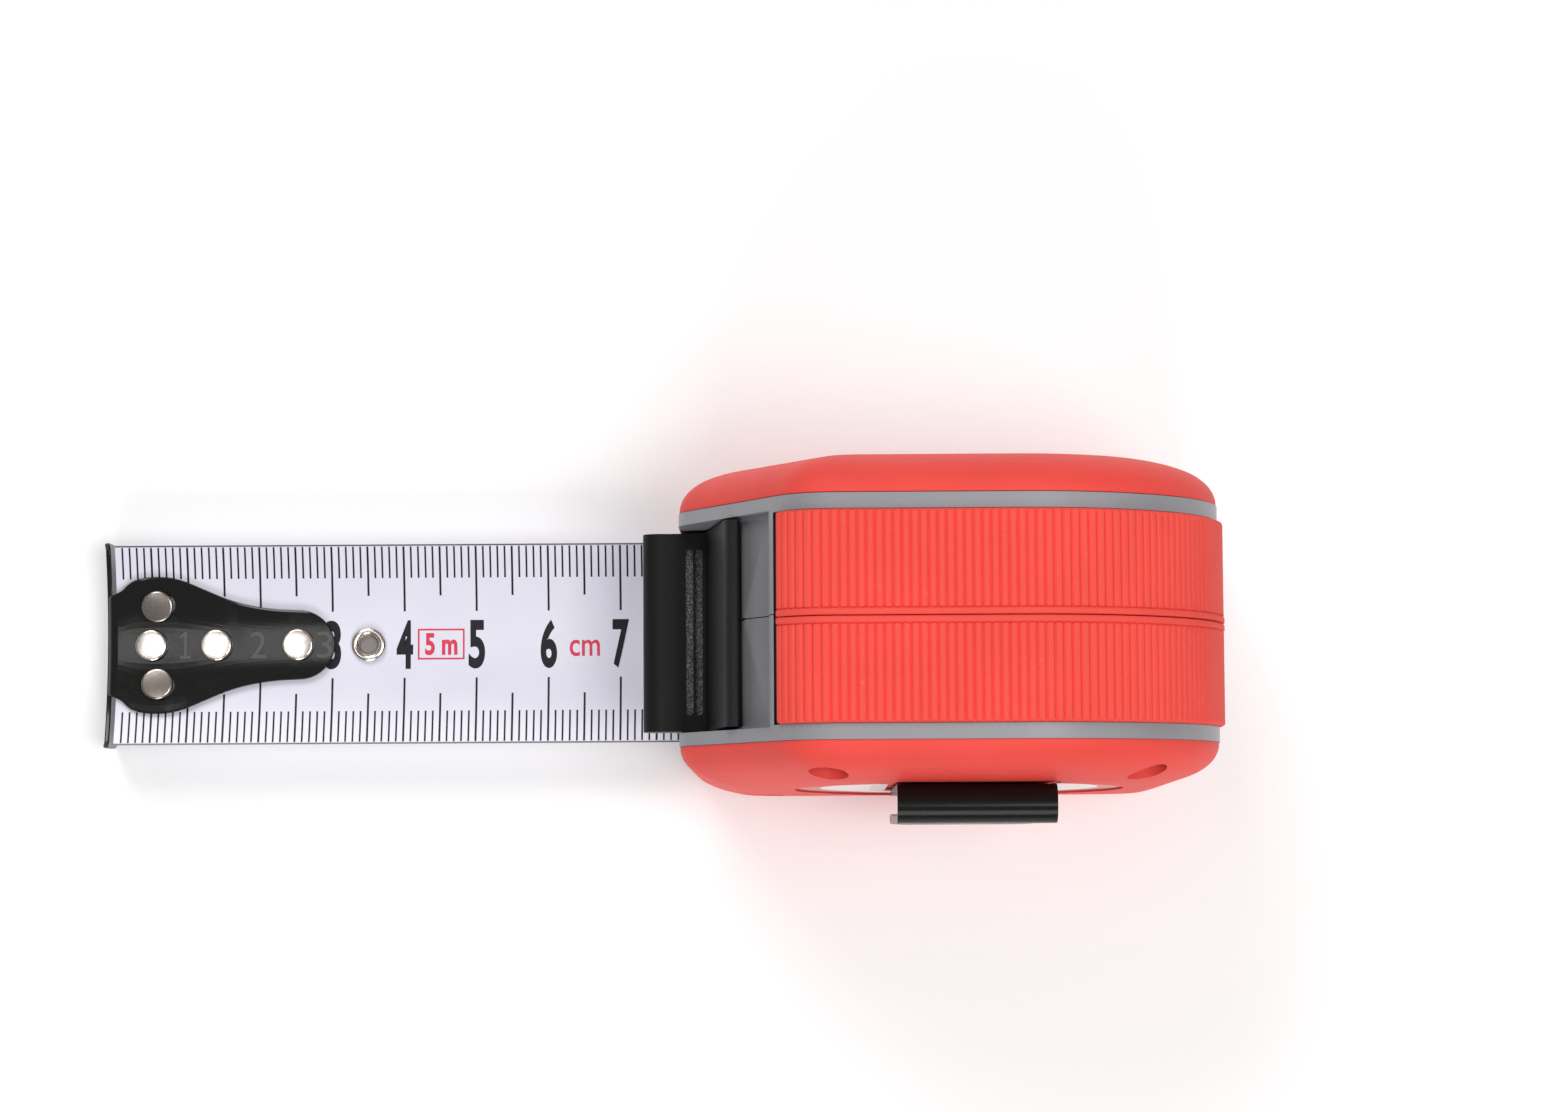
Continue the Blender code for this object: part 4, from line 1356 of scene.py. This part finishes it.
@dataclass
class Blade:
    """The blade as one ribbon with a printed millimetre scale."""

    plan: BladePlan
    finishes: Finishes
    tick_width: float = 0.25
    tick_long: float = 9.2
    tick_mid: float = 7.0
    tick_short: float = 4.5
    tick_edge: float = 0.25
    tick_bold: float = 1.15
    figure_height: float = 6.8
    figure_width: float = 2.3
    figure_bold: float = 0.035
    rivet_hole: float = 1.35
    eyelet_hole: float = 2.15

    def ribbon(self) -> bpy.types.Mesh:
        """The bare ribbon."""
        plan = self.plan
        steps = 28
        spread = [plan.flat_half * (2 * k / steps - 1) for k in range(steps + 1)]
        rings = []
        for station in range(int(plan.far_end) + 1):
            under = [plan.on_top(station, a, -plan.thickness) for a in spread]
            over = [plan.on_top(station, a, 0.0) for a in reversed(spread)]
            rings.append(under + over)
        mesh = Shape.loft(rings)
        holes = [(self.rivet_hole, at, y, 32) for at, y in EndHook.RIVETS]
        holes.append((self.eyelet_hole, EndHook.EYELET, 0.0, 40))
        drills = [
            Shape.turned([(0, -2), (radius, -2), (radius, 3), (0, 3)], plan.upright(at, y), facets)
            for radius, at, y, facets in holes
        ]
        return Shape.combine(mesh, "DIFFERENCE", *drills)

    def ticks(self, artist: Print) -> list[bpy.types.Mesh]:
        """Marks of the scale along both edges."""
        made = []
        edge = self.plan.flat_half - self.tick_edge
        for mark in range(1, int(self.plan.far_end)):
            length = self.tick_long if mark % 10 == 0 else self.tick_mid if mark % 5 == 0 else self.tick_short
            width = self.tick_width * (self.tick_bold if mark % 5 == 0 else 1.0)
            span = (mark - width / 2, mark + width / 2)
            for side in Side:
                across = sorted((side.value * edge, side.value * (edge - length)))
                made.append(artist.bar(span, (across[0], across[1]), self.plan.print_lift, 5))
        return made

    def figures(self, artist: Print) -> list[bpy.types.Mesh]:
        """Centimetre figures along the middle."""
        made = []
        for number in range(1, 9):
            width = self.figure_width * (0.62 if number == 1 else 1.0)
            at, lift = (number * 10, 0.0), self.plan.print_lift
            made.append(artist.word(str(number), at, self.figure_height, width, self.figure_bold, lift))
        return made

    def red_print(self, artist: Print) -> list[bpy.types.Mesh]:
        """The blade's length in a box, and the unit of the scale."""
        lift = self.plan.print_lift
        made = artist.frame((41.8, 48.3), (-2.1, 2.2), 0.24, lift)
        made.append(artist.word("5 m", (45.05, 0.05), 3.1, 4.5, self.figure_bold, lift))
        made.append(artist.word("cm", (65.0, -0.6), 2.3, 4.2, 0.01, lift))
        return made

    def build(self) -> None:
        """Make the ribbon and its print; the ribbon stands for both strips."""
        artist = Print(self.plan)
        black = self.plan.bend_print(Shape.merged(self.ticks(artist) + self.figures(artist)))
        red = self.plan.bend_print(Shape.merged(self.red_print(artist)))
        pieces = [
            Piece("blade_ribbon", self.ribbon(), self.finishes.lacquer, "blade_lacquer", ["blade", "blade_tail"]),
            Piece("blade_scale", black, self.finishes.black_ink, "black_lock"),
            Piece("blade_red_print", red, self.finishes.red_ink, "red_shell"),
        ]
        for piece in pieces:
            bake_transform(piece.put())


@dataclass
class EndHook:
    """The black steel hook, its five rivets and the eyelet behind it."""

    plan: BladePlan
    finishes: Finishes
    half: float = 14.2
    thickness: float = 0.7
    lip_foot: float = 0.6
    travel: float = 1.0
    edge: float = 0.3
    nose_at: float = 25.5
    nose: float = 4.8
    root_radius: float = 1.6
    lip_corner: float = 2.5
    slot_radius: float = 1.4
    gap: float = 0.3
    figure_height: float = 3.8
    figure_lift: float = 0.10
    dull_radius: float = 1.24

    RIVETS = ((5.0, 0.0), (14.0, 0.0), (25.3, 0.0), (5.9, 5.6), (5.9, -5.6))
    EYELET = 35.0

    def side(self) -> list[Point2]:
        """Half width of the plate along its length, up to the round nose."""
        return Outline.smooth([
            (-1.4, 6.9), (-0.4, 7.1), (0.8, 7.6), (2.2, 8.8), (4.2, 9.4), (7.0, 9.45), (9.5, 8.9),
            (12.5, 7.65), (15.5, 6.4), (18.5, 5.55), (22.0, 5.0), (self.nose_at, self.nose),
        ], 5)

    def half_width(self, at: float) -> float:
        """Half width of the plate.

        Args:
            at: distance from the zero end.

        Returns:
            The half width.
        """
        if at > self.nose_at:
            return max(math.sqrt(max(self.nose ** 2 - (at - self.nose_at) ** 2, 0.0)), 0.25)
        side = self.side()
        for (a, w), (b, v) in zip(side, side[1:]):
            if a <= at <= b:
                return w + (v - w) * (at - a) / (b - a)
        return side[0][1]

    def ring(self, at: float, outer: tuple[float, float], inner: tuple[float, float]) -> list[Point3]:
        """One closed section of the plate, with rounded upper edges.

        Args:
            at: distance from the zero end, for the width.
            outer: X and height of the upper face above the blade's underside.
            inner: the same for the lower face.

        Returns:
            The ring's points.
        """
        half = self.half_width(at)
        round_off = min(self.edge, half * 0.4)
        steps = [(-half, 1.0), (-half + 0.3 * round_off, 0.3), (-half + round_off, 0.0)]
        inside = half - round_off
        middle = [(inside * (2 * k / 22 - 1), 0.0) for k in range(1, 22)]
        spread = steps + middle + [(-y, d) for y, d in reversed(steps)]
        over = [(y, self.plan.rise(y), drop * round_off) for y, drop in spread]
        low = [(inner[0], y, z + inner[1]) for y, z, _ in over]
        shift = [(inner[i] - outer[i]) / self.thickness for i in range(2)]
        high = [(outer[0] + shift[0] * d, y, z + outer[1] + shift[1] * d) for y, z, d in reversed(over)]
        return low + high

    def plate(self, low: float, high: float) -> bpy.types.Mesh:
        """The plate as a fine grid, bent down at its root.

        Args:
            low: height of its lower face above the blade's underside.
            high: height of its upper face.

        Returns:
            The plate.
        """
        rings = []
        zero = self.plan.zero
        turn_at, radius = zero + 0.3, self.root_radius
        for k in range(13):
            a = math.radians(180 - 90 * k / 12)
            near = radius - self.thickness
            outer = (turn_at + radius * math.cos(a), high - radius + radius * math.sin(a))
            inner = (turn_at + near * math.cos(a), high - radius + near * math.sin(a))
            rings.append(self.ring(outer[0] - zero, outer, inner))
        stations = [0.7 + 0.4 * k for k in range(63)]
        stations += [self.nose_at + self.nose * math.sin(math.radians(90 * k / 20)) for k in range(1, 21)]
        for at in stations:
            rings.append(self.ring(at, (zero + at, high), (zero + at, low)))
        return Shape.loft(rings)

    def mesh(self) -> bpy.types.Mesh:
        """The hook with its lip and slots."""
        low = self.plan.thickness + self.gap
        high = low + self.thickness
        lip_x = self.plan.zero - 0.3
        top = [(y, self.plan.rise(y) + high - 0.9) for y in [self.half * (2 * k / 30 - 1) for k in range(1, 30)]]
        edge = self.plan.rise(self.half) + high
        round_off = self.lip_corner
        lip = [
            *Outline.arc(-self.half + round_off, self.lip_foot + round_off, round_off, 180, 270, 8),
            *Outline.arc(self.half - round_off, self.lip_foot + round_off, round_off, 270, 360, 8),
            (self.half, edge - 0.9), (self.half - 0.25, edge - 0.35), *top[::-1],
            (-self.half + 0.25, edge - 0.35), (-self.half, edge - 0.9),
        ]
        lip_plate = Shape.bevelled(Shape.prism("X", lip, lip_x - 1.0, lip_x - 0.3), 0.2, 3, 35)
        slots = []
        for at, y in self.RIVETS:
            x = self.plan.zero + at
            near = Outline.arc(x, y, self.slot_radius, 90, 270, 16)
            far = Outline.arc(x + self.travel, y, self.slot_radius, -90, 90, 16)
            slots.append(Shape.prism("Z", near + far, 0, 20))
        plate = Shape.combine(self.plate(low, high), "DIFFERENCE", *slots)
        return Shape.merged([plate, lip_plate])

    def figures(self) -> bpy.types.Mesh:
        """Stamped figures 1, 2 and 3 on the plate."""
        artist = Print(self.plan)
        lift = self.figure_lift
        one = [
            (-0.75, -1.9), (0.75, -1.9), (0.75, -1.5), (0.22, -1.5), (0.22, 1.9), (-0.15, 1.9),
            (-0.75, 1.4), (-0.75, 0.95), (-0.22, 1.3), (-0.22, -1.5), (-0.75, -1.5),
        ]
        shapes = [Shape.prism("Z", [(9.7 + x, y) for x, y in one], -0.15, lift)]
        for text, at in (("2", 19.8), ("3", 29.0)):
            shapes.append(artist.word(text, (at, 0.0), self.figure_height, 2.2, 0.0, lift))
        flat = Shape.merged(shapes)
        for vertex in flat.vertices:
            vertex.co.z += (self.gap + self.thickness) * MM
        return self.plan.bend_print(flat)

    def rivet_profile(self) -> list[Point2]:
        """Half section of a rivet, from its lower head to its domed upper head."""
        seat = self.plan.thickness + 2 * self.gap + self.thickness
        lower = [(0, -0.92), (1.2, -0.9), (1.6, -0.78), (1.8, -0.3), (1.1, -0.3)]
        upper = [(2.2, 0.0), (2.2, 0.34), (2.17, 0.46), (2.08, 0.56), (1.96, 0.62), (1.88, 0.63), (0, 0.64)]
        return lower + [(1.1, seat)] + [(radius, seat + up) for radius, up in upper]

    def eyelet_profile(self) -> list[Point2]:
        """Half section of the hollow rivet."""
        top = self.plan.thickness + self.gap
        return [
            (0, -0.75), (2.2, -0.75), (2.35, -0.3), (1.9, -0.3), (1.9, top), (2.3, top), (2.38, top + 0.15),
            (2.34, top + 0.3), (2.22, top + 0.42), (2.02, top + 0.5), (1.8, top + 0.5), (1.6, top + 0.42),
            (1.42, top + 0.26), (1.3, top + 0.04), (1.25, top - 0.3), (1.2, top - 0.5), (0, top - 0.5),
        ]

    def build(self) -> None:
        """Make the hook, its figures, the rivets and the eyelet."""
        black = self.finishes.black_paint
        Piece("end_hook", self.mesh(), black, "black_paint", ["hook"], "hook").ride()
        # the raised figures take the lighter paint, a painted highlight on them
        Piece("hook_figures", self.figures(), self.finishes.stamp, "black_paint", (), "hook", 12.0).ride()
        for number, (at, y) in enumerate(self.RIVETS, 1):
            mesh = Shape.turned(self.rivet_profile(), self.plan.upright(at, y))
            # the outer rivets take the darker steel, painted shade for heads that tilt away from the light
            finish = self.finishes.aged_steel if y else self.finishes.steel
            Piece(f"rivet_{number}", mesh, finish, "steel", [f"hook_rivet_{number}"], "blade").ride()
        mesh = Shape.turned(self.eyelet_profile(), self.plan.upright(self.EYELET, 0))
        mesh.materials.append(self.finishes.steel)
        mesh.materials.append(self.finishes.dull_steel)
        for face in mesh.polygons:
            out = math.hypot(face.center.x - (self.plan.zero + self.EYELET) * MM, face.center.y)
            face.material_index = int(out < self.dull_radius * MM)
        Piece("eyelet", mesh, self.finishes.steel, "steel", ["blade_eyelet"], "blade").ride()


# ------------------------------------------------------------------ belt clip and small parts
@dataclass
class BeltClip:
    """Bent black steel clip on the left cover."""

    finishes: Finishes
    centre: float = 2.8
    half: float = 10.0
    thickness: float = 1.0
    inner: float = 20.6
    outer: float = 25.5
    bend_z: float = 55.5

    def mesh(self) -> bpy.types.Mesh:
        """The bent sheet, with rounded lower corners and a screw hole."""
        bend = (self.outer - self.inner) / 2
        inside = self.outer - self.thickness
        sway = [(0.0, 50.0), (0.1, 40.0), (0.45, 27.0), (0.4, 21.0), (0.1, 15.0)]
        free = Outline.smooth([(-inside + back, z) for back, z in sway], 5)
        path = [(-self.inner - self.thickness, 23.0)]
        path += Outline.arc(-self.inner - bend, self.bend_z, bend - self.thickness, 0, 180, 20) + free
        low, high = self.centre - self.half, self.centre + self.half
        sheet = Shape.prism("X", Outline.ribbon(path, -self.thickness), low, high)
        tray = Outline.rounded([(low, 14.0, 5.0), (high, 14.0, 5.0), (high, 60.0, 0.5), (low, 60.0, 0.5)], 12)
        sheet = Shape.combine(sheet, "INTERSECT", Shape.prism("Y", tray, -30, -10))
        sheet = Shape.combine(sheet, "DIFFERENCE", Shape.rod(self.centre, 33.0, 1.8, -22.2, -15, 40))
        return Shape.bevelled(sheet, 0.16, 3, 35)

    def build(self) -> None:
        """Make the clip."""
        Piece("clip", self.mesh(), self.finishes.clip_paint, "black_paint", ["belt_clip"]).ride()


@dataclass
class CaseScrews:
    """Dark cross-head screws, deep in the left cover's wells."""

    plan: CasePlan
    finishes: Finishes
    floor: float = 16.5
    head_radius: float = 2.1

    def mesh(self, x: float, z: float) -> bpy.types.Mesh:
        """One screw at a place on the side.

        Args:
            x: its X.
            z: its Z.

        Returns:
            The screw.
        """
        low, wide = self.floor, self.head_radius
        profile = [
            (0, -7.0), (1.2, -6.0), (1.2, low), (wide, low), (wide, low + 0.5), (wide - 0.15, low + 0.85),
            (wide - 0.6, low + 1.15), (wide - 1.2, low + 1.25), (0, low + 1.3),
        ]
        place = Matrix.Translation((x, 0, z)) @ Matrix.Rotation(math.radians(90), 4, "X")
        body = Shape.turned(profile, place, 40)
        top = -low - 2.0
        bars = [
            Shape.block((x - 1.3, top, z - 0.28), (x + 1.3, top + 1.6, z + 0.28)),
            Shape.block((x - 0.28, top, z - 1.3), (x + 0.28, top + 1.6, z + 1.3)),
        ]
        return Shape.combine(body, "DIFFERENCE", *bars)

    def build(self) -> None:
        """Make the four screws."""
        for number, (x, z) in enumerate(self.plan.screws, 1):
            mesh = self.mesh(x, z)
            Piece(f"cover_screw_{number}", mesh, self.finishes.dark_steel, "steel", [f"case_screw_{number}"]).ride()


class CarriedNodes:
    """CAD nodes whose shape is right, given better finishes."""

    def __init__(self, finishes: Finishes) -> None:
        """Remember the finishes."""
        self.finishes = finishes

    def dress(self) -> None:
        """Give each node its finish."""
        wear = {
            self.finishes.steel: ["belt_clip_screw", "mouth_plate"],
            self.finishes.brake_rubber: ["brake_pad_left", "brake_pad_right", "mouth_bumper"],
            self.finishes.inner_plastic: ["spindle", "spool_drum", "spool_cap"],
            self.finishes.spring_steel: ["mainspring"],
            self.finishes.lacquer: ["blade_coil"],
        }
        for finish, names in wear.items():
            for name in names:
                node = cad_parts[name]
                node.data.materials.clear()
                node.data.materials.append(finish)
                log.info("%s keeps its CAD shape", name)


# ------------------------------------------------------------------ studio
@dataclass
class Studio:
    """Pale floor, soft lights and the camera above the object."""

    camera_at: Point3 = (-20.05, -28.5, 526.36)
    camera_turn: Point3 = (0.0777, 0.006, -0.0055)
    lens: float = 87.55
    floor_half: float = 1500.0
    floor_glow: float = 0.12
    surround: float = 0.24
    aim_height: float = 20.0
    lights: list[tuple[str, Point3, float, float]] = field(default_factory=lambda: [
        ("key", (-260.0, 560.0, 600.0), 400.0, 3.0),
        ("fill", (660.0, 40.0, 560.0), 400.0, 0.6),
        ("overhead", (240.0, -120.0, 800.0), 350.0, 2.7),
        ("front", (-60.0, -700.0, 520.0), 380.0, 2.4),
        ("top", (-235.0, 45.0, 900.0), 200.0, 0.30),
    ])

    def floor(self) -> None:
        """A wide pale floor under the object."""
        size = self.floor_half
        outline = [(-size, -size), (size, -size), (size, size), (-size, size)]
        mesh = Shape.prism("Z", outline, -10.0, -0.02)
        kit = ShaderKit("floor_finish")
        tone = kit.ramp(kit.noise(400.0, 2.0), 0.3, 0.7)
        kit.feed(
            Base_Color=kit.mix(tone, (0.90, 0.90, 0.905), (0.92, 0.92, 0.92)),
            Roughness=0.9,
            Emission_Color=(1.0, 1.0, 1.0),
            Emission_Strength=self.floor_glow,
        )
        mesh.materials.append(kit.material)
        obj = bpy.data.objects.new("floor", mesh)
        bpy.context.scene.collection.objects.link(obj)

    def light(self) -> None:
        """A bright even surround and soft boxes."""
        world = bpy.data.worlds.new("surround")
        world.use_nodes = True
        background = world.node_tree.nodes["Background"]
        background.inputs["Color"].default_value = (1.0, 1.0, 1.0, 1)
        background.inputs["Strength"].default_value = self.surround
        bpy.context.scene.world = world
        for name, place, size, power in self.lights:
            data = bpy.data.lights.new(name, "AREA")
            data.shape = "SQUARE"
            data.size = size * MM
            data.energy = power
            obj = bpy.data.objects.new(name, data)
            obj.location = Vector(place) * MM
            aim = Vector((0.0, 0.0, self.aim_height)) * MM - obj.location
            obj.rotation_euler = aim.to_track_quat("-Z", "Y").to_euler()
            bpy.context.scene.collection.objects.link(obj)

    def camera(self) -> None:
        """The camera almost straight above."""
        data = bpy.data.cameras.new("camera")
        data.lens = self.lens
        data.sensor_width = 36.0
        data.sensor_fit = "HORIZONTAL"
        data.clip_start = 0.01
        obj = bpy.data.objects.new("camera", data)
        obj.location = Vector(self.camera_at) * MM
        obj.rotation_euler = self.camera_turn
        bpy.context.scene.collection.objects.link(obj)
        bpy.context.scene.camera = obj

    def build(self) -> None:
        """Set the stage."""
        self.camera()
        self.floor()
        self.light()
        bpy.context.scene.view_settings.view_transform = "Standard"


def main() -> None:
    """Build every sub-assembly in order."""
    logging.basicConfig(level=logging.INFO, format="%(name)s: %(message)s")
    Studio().build()
    finishes = Finishes()
    plan = CasePlan()
    covers = SideCovers(plan, finishes)
    blade_plan = BladePlan()
    CaseCore(plan, finishes).build()
    covers.build()
    Grips(plan, finishes).build()
    Labels(plan, covers).build()
    LockSlider(plan, finishes).build()
    Blade(blade_plan, finishes).build()
    EndHook(blade_plan, finishes).build()
    BeltClip(finishes).build()
    CaseScrews(plan, finishes).build()
    CarriedNodes(finishes).dress()


if __name__ == "__main__":
    main()
